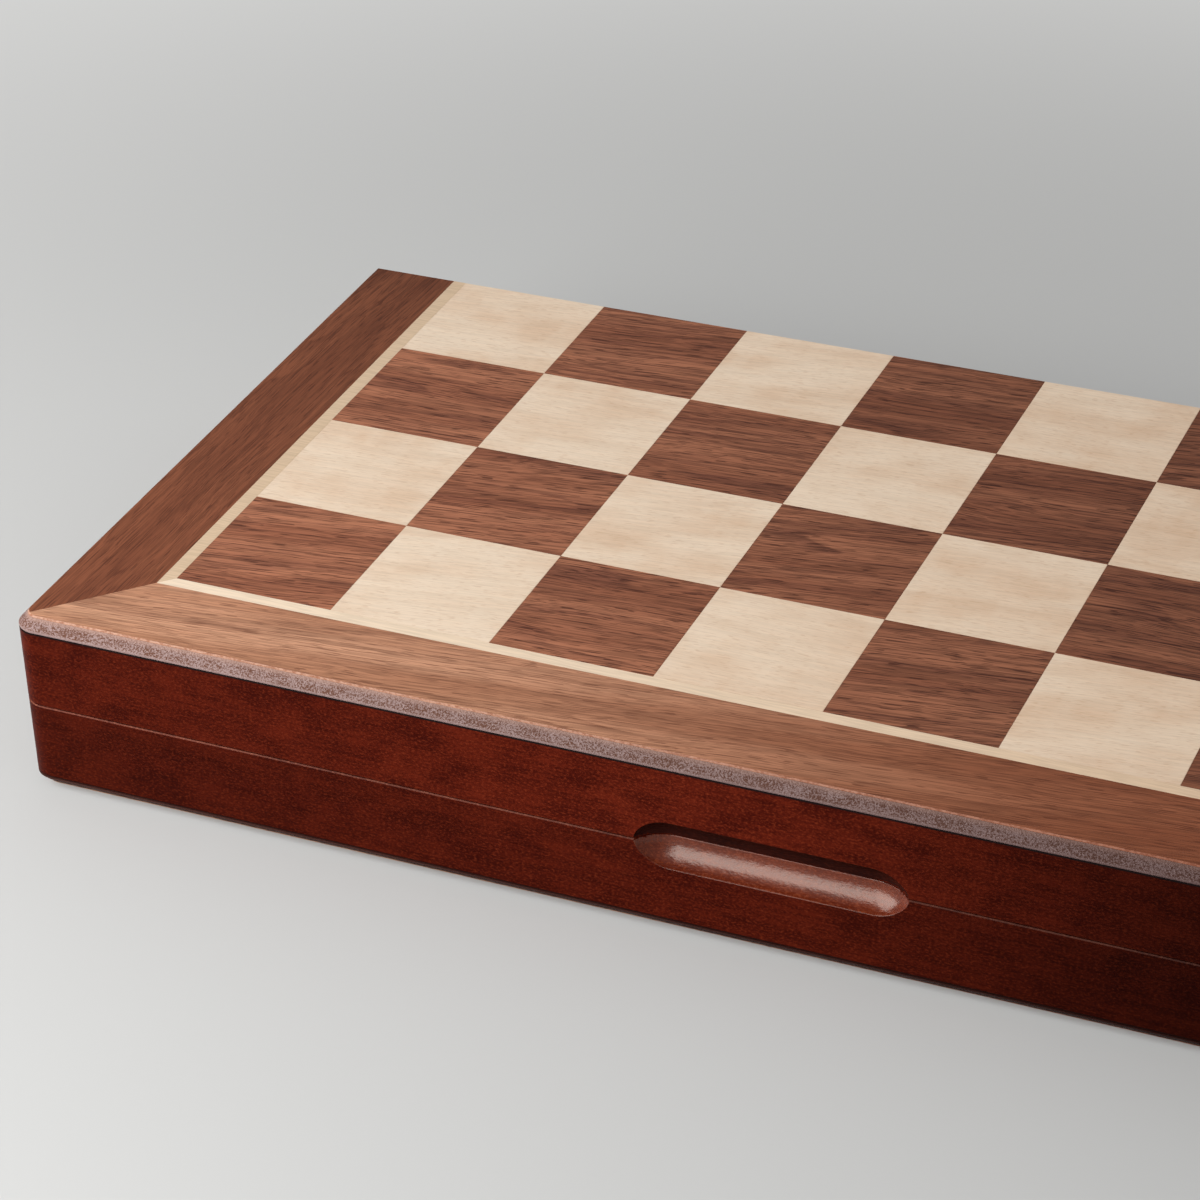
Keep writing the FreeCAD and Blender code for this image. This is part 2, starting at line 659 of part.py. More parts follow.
def hinge_leaf(half, side):
    """A leaf let into the rim, with its knuckles round the axis."""
    body = new_body(f"{side}_hinge_{half.name}_leaf")
    other = LOWER if half.faces_up else UPPER
    middle = hinge_middle(side)
    plate = new_sketch(body, "plate", "XY_Plane", lift=half.level(HALF_HEIGHT))
    draw_outline(plate, rectangle(
        f"{middle} - dim.hinge_length / 2", f"{middle} + dim.hinge_length / 2", LEAF_EDGE, AXIS_Y))
    extrude(body, "Pad", plate, "dim.leaf_thickness", reverse=not half.faces_up)
    for place, length in knuckle_spans(other):
        room = new_sketch(body, "knuckle_room", "YZ_Plane", lift=f"{middle} + {place}")
        draw_circle(room, AXIS_Y, PARTING, "dim.knuckle_radius + dim.hinge_clearance")
        extrude(body, "Pocket", room, f"{length} + 2 * dim.knuckle_gap", both_ways=True)
    for place, length in knuckle_spans(half):
        knuckle = new_sketch(body, "knuckle", "YZ_Plane", lift=f"{middle} + {place}")
        draw_circle(knuckle, AXIS_Y, PARTING, "dim.knuckle_radius")
        extrude(body, "Pad", knuckle, length, both_ways=True)
    bore = new_sketch(body, "bore", "YZ_Plane", lift=middle)
    draw_circle(bore, AXIS_Y, PARTING, "dim.pin_radius + dim.fit_clearance")
    extrude(body, "Pocket", bore, "dim.hinge_length + dim.overrun", both_ways=True)
    for x in screw_places(side):
        cut_screw_hole(body, half, x)
    return body


def hinge_pin(side):
    """A pin along the hinge axis, headed at both ends."""
    body = new_body(f"{side}_hinge_pin")
    shoulder = "(dim.hinge_length / 2 + dim.fit_clearance)"
    tip = f"({shoulder} + dim.pin_head_length)"
    dome = dome_bulge(number("dim.pin_head_length"), number("dim.pin_head_radius"))
    sketch = new_sketch(body, "section", "XY_Plane", x=hinge_middle(side), y=AXIS_Y, lift=PARTING)
    draw_outline(sketch, [
        (tip, "0"),
        (shoulder, "dim.pin_head_radius", dome),
        (shoulder, "dim.pin_radius"),
        (f"-{shoulder}", "dim.pin_radius"),
        (f"-{shoulder}", "dim.pin_head_radius"),
        (f"-{tip}", "0", dome),
    ])
    turn(body, "Revolution", sketch, "H_Axis")
    return body


def screw_master():
    """A slotted countersunk screw, pointing down from the origin."""
    body = new_body("screw_master")
    section = new_sketch(body, "section", "XZ_Plane")
    draw_outline(section, screw_outline(-1, "0"))
    turn(body, "Revolution", section, "V_Axis")
    slot = new_sketch(body, "slot", "XY_Plane")
    reach = "(dim.screw_head_radius + dim.overrun)"
    half_width = "(dim.screw_slot_width / 2)"
    draw_outline(slot, rectangle(f"-{reach}", reach, f"-{half_width}", half_width))
    extrude(body, "Pocket", slot, "dim.screw_slot_depth")
    return body


def hinge_screws(half, master):
    """The four screws of one half."""
    heading = Rotation(Vector(1, 0, 0), 180 if half.faces_up else 0)
    screws = []
    for side in SIDES:
        for x in screw_places(side):
            place = Vector(number(x), number(MID_BACK_WALL), number(half.level(HALF_HEIGHT)))
            screws.append(copy_of(master, f"{half.name}_{side}_screw", Placement(place, heading)))
    return group_of(f"{half.name}_hinge_screws", screws)


def magnets(half):
    """Two disc magnets, flush with the front rim."""
    bottom = half.level(HALF_HEIGHT) if half.faces_up else f"{HALF_HEIGHT} - dim.magnet_thickness"
    return [
        primitive(
            "Cylinder", f"{half.name}_magnet_{side}", Radius="dim.magnet_radius",
            Height="dim.magnet_thickness", x=f"{sign_of(side)} * dim.magnet_spread / 2", y=MID_FRONT_WALL,
            z=bottom)
        for side in SIDES
    ]


# Chess pieces and checkers, each standing on the origin

def turned_piece(kind):
    """A chess piece turned from the common foot and its own profile."""
    radius = f"(dim.{kind}_base / 2)"
    height = f"dim.{kind}_height"
    corners = [("0", "0")]
    corners += [(f"{across} * {radius}", f"{up} * {radius}", bulge) for across, up, bulge in FOOT_SHARES]
    for across, up, bulge in PROFILE_SHARES[kind]:
        corner = (f"{across} * {radius}", f"{up} * {height}")
        if bulge == BALL:
            rise = number(corner[1]) - number(corners[-1][1])
            bulge = dome_bulge(rise, number(corners[-1][0]))
        corners.append(corner + (bulge,))
    body = new_body(f"{kind}_master")
    section = new_sketch(body, "section", "XZ_Plane")
    draw_outline(section, corners)
    turn(body, "Revolution", section, "V_Axis")
    return body


def middle_outline(body, kind, shares, lift="0"):
    """An outline along the middle plane of a piece, from shares of its foot and height."""
    sketch = new_sketch(body, "outline", "XZ_Plane", lift=lift)
    draw_outline(sketch, [
        (f"{across} * dim.{kind}_base / 2", f"{up} * dim.{kind}_height") + tuple(bulge)
        for across, up, *bulge in shares
    ])
    return sketch


def finish_king(body):
    """Adds the cross."""
    extrude(body, "Pad", middle_outline(body, "king", CROSS_SHARES), "dim.cross_thickness", both_ways=True)


def finish_queen(body):
    """Notches the coronet all round."""
    notch = new_sketch(body, "notch", "YZ_Plane", lift=f"{CORONET_START_SHARE} * dim.queen_base / 2")
    draw_circle(notch, "0", f"{CORONET_SHARE} * dim.queen_height", "dim.coronet_notch")
    pocket = extrude(body, "Pocket", notch, "dim.queen_base", reverse=True)
    centre = new_sketch(body, "centre", "XY_Plane")
    polar_copies(body, pocket, centre, CORONET_NOTCHES)


def finish_bishop(body):
    """Cuts the slanting slot of the mitre."""
    outline = middle_outline(body, "bishop", MITRE_CUT_SHARES)
    extrude(body, "Pocket", outline, "dim.bishop_base", both_ways=True)


def drawn_in(share, middle_share):
    """A share of the knight's outline, drawn in towards the middle of the head."""
    return middle_share + KNIGHT_CHEEK_SHARE * (share - middle_share)


def finish_knight(body):
    """Adds the horse's head: its outline is full in the middle and drawn in at the cheeks."""
    full = KNIGHT_HEAD_SHARES
    cheek = [
        (drawn_in(across, KNIGHT_MIDDLE_SHARES[0]), drawn_in(up, KNIGHT_MIDDLE_SHARES[1]), *bulge)
        for across, up, *bulge in full
    ]
    places = [(-1, cheek), (-KNIGHT_FULL_SHARE, full), (KNIGHT_FULL_SHARE, full), (1, cheek)]
    sections = [
        middle_outline(body, "knight", shares, lift=f"{place} * dim.knight_thickness / 2")
        for place, shares in places
    ]
    loft = body.newObject("PartDesign::AdditiveLoft", "head")
    loft.Profile = sections[0]
    loft.Sections = sections[1:]
    loft.Ruled = True


def finish_rook(body):
    """Cuts the slots of the parapet."""
    slot = new_sketch(body, "slot", "XY_Plane", lift="dim.rook_height")
    half_width = "(dim.rook_slot_width / 2)"
    draw_outline(slot, rectangle("-dim.rook_base", "dim.rook_base", f"-{half_width}", half_width))
    pocket = extrude(body, "Pocket", slot, "dim.rook_slot_depth")
    polar_copies(body, pocket, slot, ROOK_SLOTS)


FINISHES = {
    "king": finish_king,
    "queen": finish_queen,
    "bishop": finish_bishop,
    "knight": finish_knight,
    "rook": finish_rook,
}


def checker_master():
    """A turned disc with a rounded rim and a ring sunk in both faces."""
    body = new_body("checker_master")
    top = "dim.checker_height"
    rim = "(dim.checker_width / 2)"
    ring_in = "(dim.checker_ring - dim.checker_ring_width / 2)"
    ring_out = "(dim.checker_ring + dim.checker_ring_width / 2)"
    low_ring = "dim.checker_ring_depth"
    high_ring = f"({top} - dim.checker_ring_depth)"
    section = new_sketch(body, "section", "XZ_Plane")
    draw_outline(section, [
        ("0", "0"), (ring_in, "0"), (ring_in, low_ring), (ring_out, low_ring), (ring_out, "0"),
        (f"{rim} - dim.checker_round", "0"),
        (rim, "dim.checker_round", QUARTER_TURN),
        (rim, f"{top} - dim.checker_round"),
        (f"{rim} - dim.checker_round", top, QUARTER_TURN),
        (ring_out, top), (ring_out, high_ring), (ring_in, high_ring), (ring_in, top), ("0", top),
    ])
    turn(body, "Revolution", section, "V_Axis")
    return body


# Tray: what it stores, and the pockets that follow it

def is_stack(kind):
    """Whether a stored thing is a stack of checkers."""
    return kind.endswith("checkers")


def stored_radius(kind):
    """The largest radius of a stored thing."""
    return number("dim.checker_width / 2") if is_stack(kind) else number(f"dim.{kind}_base / 2")


def stored_length(kind):
    """The length of a stored thing along its axis."""
    if is_stack(kind):
        return number(f"{CHECKERS} * (dim.checker_height + dim.checker_gap)")
    return number(f"dim.{kind}_height + dim.felt_thickness")


def axis_height(kind):
    """The height of a stored thing's axis: near the tray's face, or as low as its floor allows."""
    lowest = f"{PANEL} + dim.tray_floor + dim.pocket_clearance"
    return max(number(f"{TRAY_FACE} - dim.axis_drop"), number(lowest) + stored_radius(kind))


def pocket(kind, x, start, end, radius):
    """A round-bottomed slot along Y, open at the top."""
    room = number("dim.pocket_clearance")
    top = number(f"{HALF_HEIGHT} + dim.overrun") + stored_radius(kind)
    axis = Vector(x, start - room, axis_height(kind))
    across = Vector(radius + room, 0, 0)
    left = axis - across
    right = axis + across
    bottom = axis - Vector(0, 0, radius + room)
    left_top = Vector(left.x, left.y, top)
    right_top = Vector(right.x, right.y, top)
    edges = [
        Part.LineSegment(left_top, left).toShape(),
        Part.Arc(left, bottom, right).toShape(),
        Part.LineSegment(right, right_top).toShape(),
        Part.LineSegment(right_top, left_top).toShape(),
    ]
    return Part.Face(Part.Wire(edges)).extrude(Vector(0, end - start + 2 * room, 0))


def pockets_for(kind, x, y):
    """The pocket of one stored thing: wide round a foot, narrower along the stem and head."""
    radius = stored_radius(kind)
    end = y + stored_length(kind)
    if is_stack(kind):
        return [pocket(kind, x, y, end, radius)]
    foot_end = y + number("dim.felt_thickness") + FOOT_SHARES[-1][1] * radius
    foot_middle = (y + foot_end) / 2
    shares = [FOOT_SHARES[-1][0]] + [abs(point[0]) for point in PROFILE_SHARES[kind]]
    if kind == "knight":
        shares += [abs(point[0]) for point in KNIGHT_HEAD_SHARES]
    return [pocket(kind, x, y, foot_end, radius), pocket(kind, x, foot_middle, end, max(shares) * radius)]


def fill_tray(masters, felts, checker):
    """Places all that the tray stores; returns the pieces, the groups' members and the pockets."""
    lying = Rotation(Vector(1, 0, 0), -90)
    felt_step = Placement(Vector(0, 0, -number("dim.felt_thickness")), Rotation())
    pitch = number("dim.checker_height + dim.checker_gap")
    widths = [2 * max(stored_radius(kind) for kind in kinds) for colour, kinds in TRAY_COLUMNS]
    column_gap = (number(INNER_LENGTH) - sum(widths)) / (len(TRAY_COLUMNS) + 1)
    pieces = []
    members = {}
    pockets = []
    x = -number(INNER_LENGTH) / 2
    for (colour, kinds), width in zip(TRAY_COLUMNS, widths):
        x += column_gap + width / 2
        row_gap = (number(INNER_DEPTH) - sum(stored_length(kind) for kind in kinds)) / (len(kinds) + 1)
        y = -number(INNER_DEPTH) / 2
        for kind in kinds:
            y += row_gap
            pockets += pockets_for(kind, x, y)
            if is_stack(kind):
                for index in range(CHECKERS):
                    place = Placement(Vector(x, y + index * pitch, axis_height(kind)), lying)
                    members.setdefault(kind, []).append(copy_of(checker, f"{kind}_{index + 1}", place))
            else:
                foot = Vector(x, y + number("dim.felt_thickness"), axis_height(kind))
                place = Placement(foot, lying)
                felt = copy_of(felts[kind], f"{colour}_{kind}_felt", place.multiply(felt_step))
                members.setdefault(f"{colour}_base_felts", []).append(felt)
                same = members.setdefault(f"{colour}_{kind}s", [])
                name = f"{colour}_{kind}_{len(same) + 1}" if kind in PAIRED else f"{colour}_{kind}"
                piece = copy_of(masters[kind], name, place)
                same.append(piece)
                if kind != "pawn":
                    pieces.append(piece)
            y += stored_length(kind)
        x += width / 2
    return pieces, members, pockets


def piece_tray(pockets):
    """The tray: a block that fills the lower half, less the pockets."""
    length = f"({INNER_LENGTH} - 2 * dim.tray_clearance)"
    depth = f"({INNER_DEPTH} - 2 * dim.tray_clearance)"
    block = primitive(
        "Box", "tray_block", Length=length, Width=depth, Height="dim.frame_height - dim.tray_drop",
        x=f"-{length} / 2", y=f"-{depth} / 2", z=PANEL)
    cutter = doc.addObject("Part::Feature", "pocket_cutter")
    cutter.Shape = pockets[0].fuse(pockets[1:])
    tray = doc.addObject("Part::Cut", "piece_tray")
    tray.Label = "piece_tray"
    tray.Base = block
    tray.Tool = cutter
    return tray


def lid_lining():
    """The sheet glued inside the lid."""
    length = f"({INNER_LENGTH} - 2 * dim.tray_clearance)"
    depth = f"({INNER_DEPTH} - 2 * dim.tray_clearance)"
    return primitive(
        "Box", "lid_lining", Length=length, Width=depth, Height="dim.lining_thickness",
        x=f"-{length} / 2", y=f"-{depth} / 2", z=f"{TOTAL_HEIGHT} - {PANEL} - dim.lining_thickness")


# Assembly

def stored_nodes():
    """The chess pieces, their felts, the checkers and the tray that holds them."""
    masters = {kind: turned_piece(kind) for kind in PROFILE_SHARES}
    for kind, finish in FINISHES.items():
        finish(masters[kind])
    felts = {
        kind: primitive(
            "Cylinder", f"{kind}_felt_master", Radius=f"dim.{kind}_base / 2 - dim.felt_inset",
            Height="dim.felt_thickness")
        for kind in PROFILE_SHARES
    }
    pieces, members, pockets = fill_tray(masters, felts, checker_master())
    nodes = list(pieces)
    for colour in COLOURS:
        for group in ("pawns", "base_felts", "checkers"):
            name = f"{colour}_{group}"
            nodes.append(group_of(name, members[name]))
    nodes.append(piece_tray(pockets))
    return nodes


def build():
    """All sub-parts of the set."""
    nodes = []
    screw = screw_master()
    for half in HALVES:
        nodes.append(panel_core(half))
        nodes += border_strips(half)
        nodes.append(stringing(half))
        nodes += squares(half)
        nodes += frame(half)
        nodes += magnets(half)
        nodes.append(hinge_screws(half, screw))
        nodes += [hinge_leaf(half, side) for side in SIDES]
    nodes += [hinge_pin(side) for side in SIDES]
    nodes += stored_nodes()
    nodes.append(lid_lining())
    doc.recompute()
    return nodes


def check(nodes):
    """Stops if an object failed, a cut removed nothing or a sub-part's shape is not sound."""
    for item in doc.Objects:
        if "Invalid" in item.State or "Error" in item.State:
            raise RuntimeError(f"{item.Label} failed: {item.State}")
        if item.TypeId in ("PartDesign::Pocket", "PartDesign::Groove"):
            if item.Shape.Volume >= item.BaseFeature.Shape.Volume:
                raise RuntimeError(f"{item.Label} cuts nothing")
    for node in nodes:
        if node.Shape.isNull() or not node.Shape.isValid():
            raise RuntimeError(f"{node.Label} has no sound shape")


def export(nodes):
    """One file for each sub-part."""
    os.makedirs("parts", exist_ok=True)
    for node in nodes:
        node.Shape.exportStep(f"parts/{node.Label}.step")
        print(node.Label, len(node.Shape.Solids), round(node.Shape.Volume, 1))


subparts = build()
check(subparts)
export(subparts)
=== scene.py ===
"""Looks of a folding chess and checkers case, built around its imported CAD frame. Metres, +Z up."""

import json
import math

import bmesh
import bpy
from mathutils import Matrix, Vector

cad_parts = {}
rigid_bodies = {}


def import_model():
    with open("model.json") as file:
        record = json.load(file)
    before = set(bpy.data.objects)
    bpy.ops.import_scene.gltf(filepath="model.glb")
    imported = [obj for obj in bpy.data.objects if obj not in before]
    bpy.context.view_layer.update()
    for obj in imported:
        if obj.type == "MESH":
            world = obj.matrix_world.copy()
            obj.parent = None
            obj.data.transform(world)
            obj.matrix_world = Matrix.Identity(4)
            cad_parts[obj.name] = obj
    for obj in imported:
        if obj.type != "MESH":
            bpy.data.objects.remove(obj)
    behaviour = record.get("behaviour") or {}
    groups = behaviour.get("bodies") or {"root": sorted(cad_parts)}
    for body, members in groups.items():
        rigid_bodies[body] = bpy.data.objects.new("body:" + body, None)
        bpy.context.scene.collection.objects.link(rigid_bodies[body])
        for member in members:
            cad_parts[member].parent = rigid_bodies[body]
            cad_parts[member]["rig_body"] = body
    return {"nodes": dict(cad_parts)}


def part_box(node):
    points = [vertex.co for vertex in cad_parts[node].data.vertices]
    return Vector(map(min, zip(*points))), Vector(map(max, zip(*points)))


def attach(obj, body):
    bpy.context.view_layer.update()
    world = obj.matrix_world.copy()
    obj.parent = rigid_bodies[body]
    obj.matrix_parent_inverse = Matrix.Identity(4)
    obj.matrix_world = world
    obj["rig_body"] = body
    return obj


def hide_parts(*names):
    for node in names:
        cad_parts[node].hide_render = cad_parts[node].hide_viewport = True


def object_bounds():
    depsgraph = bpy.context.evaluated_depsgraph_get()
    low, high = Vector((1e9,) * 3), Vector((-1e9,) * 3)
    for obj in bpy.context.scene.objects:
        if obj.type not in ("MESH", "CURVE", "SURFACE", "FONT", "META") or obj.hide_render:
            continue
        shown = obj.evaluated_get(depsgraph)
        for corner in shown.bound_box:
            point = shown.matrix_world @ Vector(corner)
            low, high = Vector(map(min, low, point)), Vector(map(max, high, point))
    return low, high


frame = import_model()
cad_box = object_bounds()
nodes = frame["nodes"]

MM = 0.001
HALVES = ("lower", "upper")
SIDES = ("left", "right")
ARMIES = ("light", "dark")

# Places and sizes of the case
SQUARE = 40 * MM
VENEER_JOINT = 0.06 * MM
BOARD_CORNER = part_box("upper_dark_squares")[0] - Vector((VENEER_JOINT / 2, VENEER_JOINT / 2, 0))
CASE_LEFT, CASE_RIGHT = (corner.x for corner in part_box("upper_panel_core"))
CASE_MIDDLE = 0.0
FRONT_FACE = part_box("upper_wall_front")[0].y
PARTING = (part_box("lower_wall_front")[1].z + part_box("upper_wall_front")[0].z) / 2
WALL_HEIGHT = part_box("upper_wall_front")[1].z - PARTING
RECESS_DEPTH = 4.6 * MM
RECESS_REACH = 35 * MM
# How far from the parting the bevels of the rims lie, and how thin a skin counts as the front face
RIM_BEVEL = 0.36 * MM
FACE_SKIN = 0.01 * MM
# The least and the most that the normal of a sloping face points up or down
SLOPING = (0.2, 0.9)


class Graph:
    """The node tree of a material or of the world, with short calls that add a node and join it up."""

    def __init__(self, owner):
        owner.use_nodes = True
        self.owner = owner
        self.tree = owner.node_tree
        self.surface = self.tree.nodes.get("Principled BSDF")

    def add(self, kind):
        return self.tree.nodes.new("ShaderNode" + kind)

    def put(self, value, socket):
        """Joins another node's output to a socket, or sets the socket to a plain value."""
        if isinstance(value, bpy.types.NodeSocket):
            self.tree.links.new(value, socket)
        elif hasattr(value, "__len__") and len(socket.default_value) > len(value):
            socket.default_value = (*value, 1)
        else:
            socket.default_value = value

    def place(self):
        """Where a point is on the object at rest, whatever the pose."""
        return self.add("TexCoord").outputs["Object"]

    def calc(self, operation, first, second=0.0):
        node = self.add("Math")
        node.operation = operation
        self.put(first, node.inputs[0])
        self.put(second, node.inputs[1])
        return node.outputs[0]

    def vector(self, operation, first, second=(0, 0, 0)):
        node = self.add("VectorMath")
        node.operation = operation
        self.put(first, node.inputs[0])
        self.put(second, node.inputs[1])
        return node.outputs[0]

    def parts(self, vector):
        """The X, Y and Z of a vector."""
        node = self.add("SeparateXYZ")
        self.put(vector, node.inputs[0])
        return node.outputs

    def join(self, x, y, z):
        node = self.add("CombineXYZ")
        for value, socket in zip((x, y, z), node.inputs):
            self.put(value, socket)
        return node.outputs[0]

    def noise(self, place, sizes, detail=2.0, roughness=0.5):
        """Noise with features of the given sizes along each axis, in millimetres."""
        node = self.add("TexNoise")
        node.inputs["Scale"].default_value = 1
        node.inputs["Detail"].default_value = detail
        node.inputs["Roughness"].default_value = roughness
        self.put(self.vector("DIVIDE", place, [size * MM for size in sizes]), node.inputs["Vector"])
        return node.outputs["Fac"]

    def cells(self, place, sizes):
        """Three random shares, as a vector, that change from one cell to the next."""
        cell = self.vector("FLOOR", self.vector("DIVIDE", place, sizes))
        node = self.add("TexWhiteNoise")
        self.put(cell, node.inputs["Vector"])
        return node.outputs["Color"]

    def ease(self, value, low, high, to_low=0.0, to_high=1.0):
        """Goes from to_low to to_high as value goes from low to high, with a soft start and end."""
        node = self.add("MapRange")
        node.interpolation_type = "SMOOTHSTEP"
        for put_value, socket in zip((value, low, high, to_low, to_high), node.inputs):
            self.put(put_value, socket)
        return node.outputs[0]

    def mix(self, share, first, second, way="MIX"):
        node = self.add("Mix")
        node.data_type = "RGBA"
        node.blend_type = way
        self.put(share, node.inputs["Factor"])
        self.put(first, node.inputs[6])
        self.put(second, node.inputs[7])
        return node.outputs[2]

    def layer(self, colour, share, strength, tone):
        """The colour with a tone laid over it where share is high, up to the given strength."""
        return self.mix(self.calc("MULTIPLY", share, strength), colour, tone)

    def shaded(self, share, colour, low, high):
        """The colour made darker or lighter, from low to high, as share goes from 0 to 1."""
        grey = self.ease(share, 0.0, 1.0, low, high)
        return self.mix(1.0, colour, self.join(grey, grey, grey), "MULTIPLY")

    def painted_light_gradient(self, colour, left, right, slope=0.0, start=CASE_LEFT, end=CASE_RIGHT):
        """Painted light and shade: the colour times a tint that changes slowly from left to right, and
        towards the back by slope, standing in for the light falling off across the case.
        """
        x, y, _ = self.parts(self.place())
        from_front = self.calc("MULTIPLY", self.calc("SUBTRACT", y, FRONT_FACE), slope)
        tint = self.mix(self.ease(self.calc("ADD", x, from_front), start, end), left, right)
        return self.mix(1.0, colour, tint, "MULTIPLY")

    def roughness(self, pattern, smooth, rough):
        """Roughness that follows a noise pattern."""
        return self.ease(pattern, 0.2, 0.8, smooth, rough)

    def bump(self, height, depth, strength=1.0, under=None):
        """A bumpy normal, its depth in millimetres."""
        node = self.add("Bump")
        node.inputs["Strength"].default_value = strength
        node.inputs["Distance"].default_value = depth * MM
        self.put(height, node.inputs["Height"])
        if under is not None:
            self.put(under, node.inputs["Normal"])
        return node.outputs[0]

    def shade(self, sockets):
        """Sets sockets of the surface by their names, and returns the material."""
        for name, value in sockets.items():
            self.put(value, self.surface.inputs[name])
        return self.owner


def material_graph(name):
    return Graph(bpy.data.materials.new(name))


def even_tint(share):
    """A tint that makes a colour darker or lighter and keeps its hue."""
    return (share, share, share)


# Waves of the grain: sizes in millimetres along and across it, and heights
WAVE = (75, 24, 24)
WAVE_HEIGHT = 6 * MM
RIPPLE = (16, 7, 7)
RIPPLE_HEIGHT = 0.8 * MM
# The most that the grain shifts from one cell to the next, and the shares where there are no cells
CELL_SHIFT = (310 * MM, 23 * MM, 170 * MM)
MIDDLE_SHARES = (0.5, 0.5, 0.5)


def swing(graph, place, sizes, height):
    """A soft wave to either side of zero."""
    return graph.calc("MULTIPLY", graph.calc("SUBTRACT", graph.noise(place, sizes, 1), 0.5), height)


def grain_place(graph, grain, lean=(0, 0), cell=None):
    """Coordinates with the grain along X, gently wavy, and shifted and turned from cell to cell."""
    place = graph.place()
    x, y, z = graph.parts(place)
    if grain == "Y":
        x, y = y, x
    shares = MIDDLE_SHARES
    if cell:
        shares = graph.cells(graph.vector("SUBTRACT", place, BOARD_CORNER), cell)
    slope = graph.ease(graph.parts(shares)[2], 0.0, 1.0, -lean[0], -lean[1])
    place = graph.join(x, graph.calc("ADD", y, graph.calc("MULTIPLY", slope, x)), z)
    place = graph.vector("ADD", place, graph.vector("MULTIPLY", shares, CELL_SHIFT))
    wave = swing(graph, place, WAVE, WAVE_HEIGHT)
    wave = graph.calc("ADD", wave, swing(graph, place, RIPPLE, RIPPLE_HEIGHT))
    return graph.vector("ADD", place, graph.join(0.0, wave, wave))


# Growth rings: length over width, the shares of a ring where late wood starts and ends, and their fading
RING_STRETCH = 9
LATE_START = 0.35
LATE_END = 0.94
RING_FADING = (70, 7, 7)


def growth_rings(graph, place, width, count):
    """Late wood: darkens slowly across each ring, ends at a crisp line, and fades along the grain."""
    field = graph.noise(place, (RING_STRETCH * width, width, width), 1, 0.35)
    ring = graph.calc("FRACT", graph.calc("MULTIPLY", field, count))
    crisp_end = graph.ease(ring, LATE_END, 1.0, 1.0, 0.0)
    late = graph.calc("MULTIPLY", graph.ease(ring, LATE_START, LATE_END), crisp_end)
    return graph.calc("MULTIPLY", late, graph.ease(graph.noise(place, RING_FADING, 1), 0.34, 0.62))


# Walnut colours, as linear red, green and blue: light, middle, late wood, pores
WALNUT_TONES = ((0.36, 0.146, 0.081), (0.25, 0.093, 0.051), (0.122, 0.043, 0.029), (0.06, 0.019, 0.012))
# The front border's paler tones are painted sheen and the side borders' deeper tones painted shade, for how
# the light catches the grain across and along it
WALNUT_SHEEN_TONES = ((0.46, 0.224, 0.13), (0.35, 0.152, 0.083), (0.22, 0.09, 0.05), (0.13, 0.046, 0.026))
WALNUT_SHADE_TONES = (
    (0.25, 0.084, 0.042),
    (0.205, 0.067, 0.034),
    (0.125, 0.038, 0.021),
    (0.08, 0.024, 0.014),
)
# The walnut's figure, in millimetres along and across the grain
WALNUT_BAND = (150, 10, 10)
WALNUT_STREAK = (52, 0.7, 0.7)
WALNUT_FIBRE = (26, 0.42, 0.42)
WALNUT_PORE = (6, 0.3, 0.3)
WALNUT_RING_WIDTH = 17
WALNUT_RING_COUNT = 11


def walnut(name, grain, tones, lean, painted_light, figure, cell=None):
    """Walnut veneer: slow bands, growth rings, thin dark streaks, fine fibres and short open pores."""
    light, middle, late_wood, pore = tones
    graph = material_graph(name)
    place = grain_place(graph, grain, lean, cell)
    bands = graph.ease(graph.noise(place, WALNUT_BAND, 2), 0.34, 0.66)
    rings = growth_rings(graph, place, WALNUT_RING_WIDTH, WALNUT_RING_COUNT)
    streaks = graph.ease(graph.noise(place, WALNUT_STREAK, 1), 0.6, 0.65)
    fibres = graph.noise(place, WALNUT_FIBRE, 1)
    crowding = graph.calc("MULTIPLY", graph.calc("ADD", rings, streaks), 0.05)
    pores = graph.ease(graph.calc("ADD", graph.noise(place, WALNUT_PORE, 0), crowding), 0.62, 0.68)
    colour = graph.mix(bands, light, middle)
    colour = graph.layer(colour, rings, 0.55 * figure, late_wood)
    colour = graph.layer(colour, streaks, 0.45 * figure, late_wood)
    colour = graph.shaded(graph.ease(fibres, 0.38, 0.62), colour, 1 - 0.22 * figure, 1 + 0.16 * figure)
    colour = graph.layer(colour, pores, 0.75 * figure, pore)
    height = graph.calc("SUBTRACT", fibres, graph.calc("MULTIPLY", pores, 1.2))
    # The tints lay painted light and shade over the grain, lighter at the left and darker at the right
    return graph.shade({
        "Base Color": graph.painted_light_gradient(colour, *painted_light),
        "Roughness": graph.roughness(fibres, 0.38, 0.52),
        "Specular IOR Level": 0.07,
        "Normal": graph.bump(height, 0.02, 0.6),
    })


# Maple colours, with the painted shade that darkens the maple towards the right
MAPLE_CREAM = (0.79, 0.635, 0.485)
MAPLE_TAN = (0.705, 0.515, 0.365)
MAPLE_SILK = (0.81, 0.67, 0.525)
MAPLE_LATE_WOOD = (0.55, 0.35, 0.21)
MAPLE_FLECK_TONE = (0.52, 0.31, 0.18)
MAPLE_RIGHT_SHADE = (0.93, 0.9, 0.875)
GLUE = (0.55, 0.34, 0.2)
GLUE_REACH = 0.3 * MM
# The maple's figure, in millimetres along and across the grain
MAPLE_CLOUD = (36, 12, 12)
MAPLE_CURL = (7, 15, 15)
MAPLE_FIBRE = (13, 0.5, 0.5)
MAPLE_FLECK = (2.2, 0.3, 0.3)
MAPLE_RING_WIDTH = 24
MAPLE_RING_COUNT = 8
MAPLE_LEAN = (0.0, 0.12)


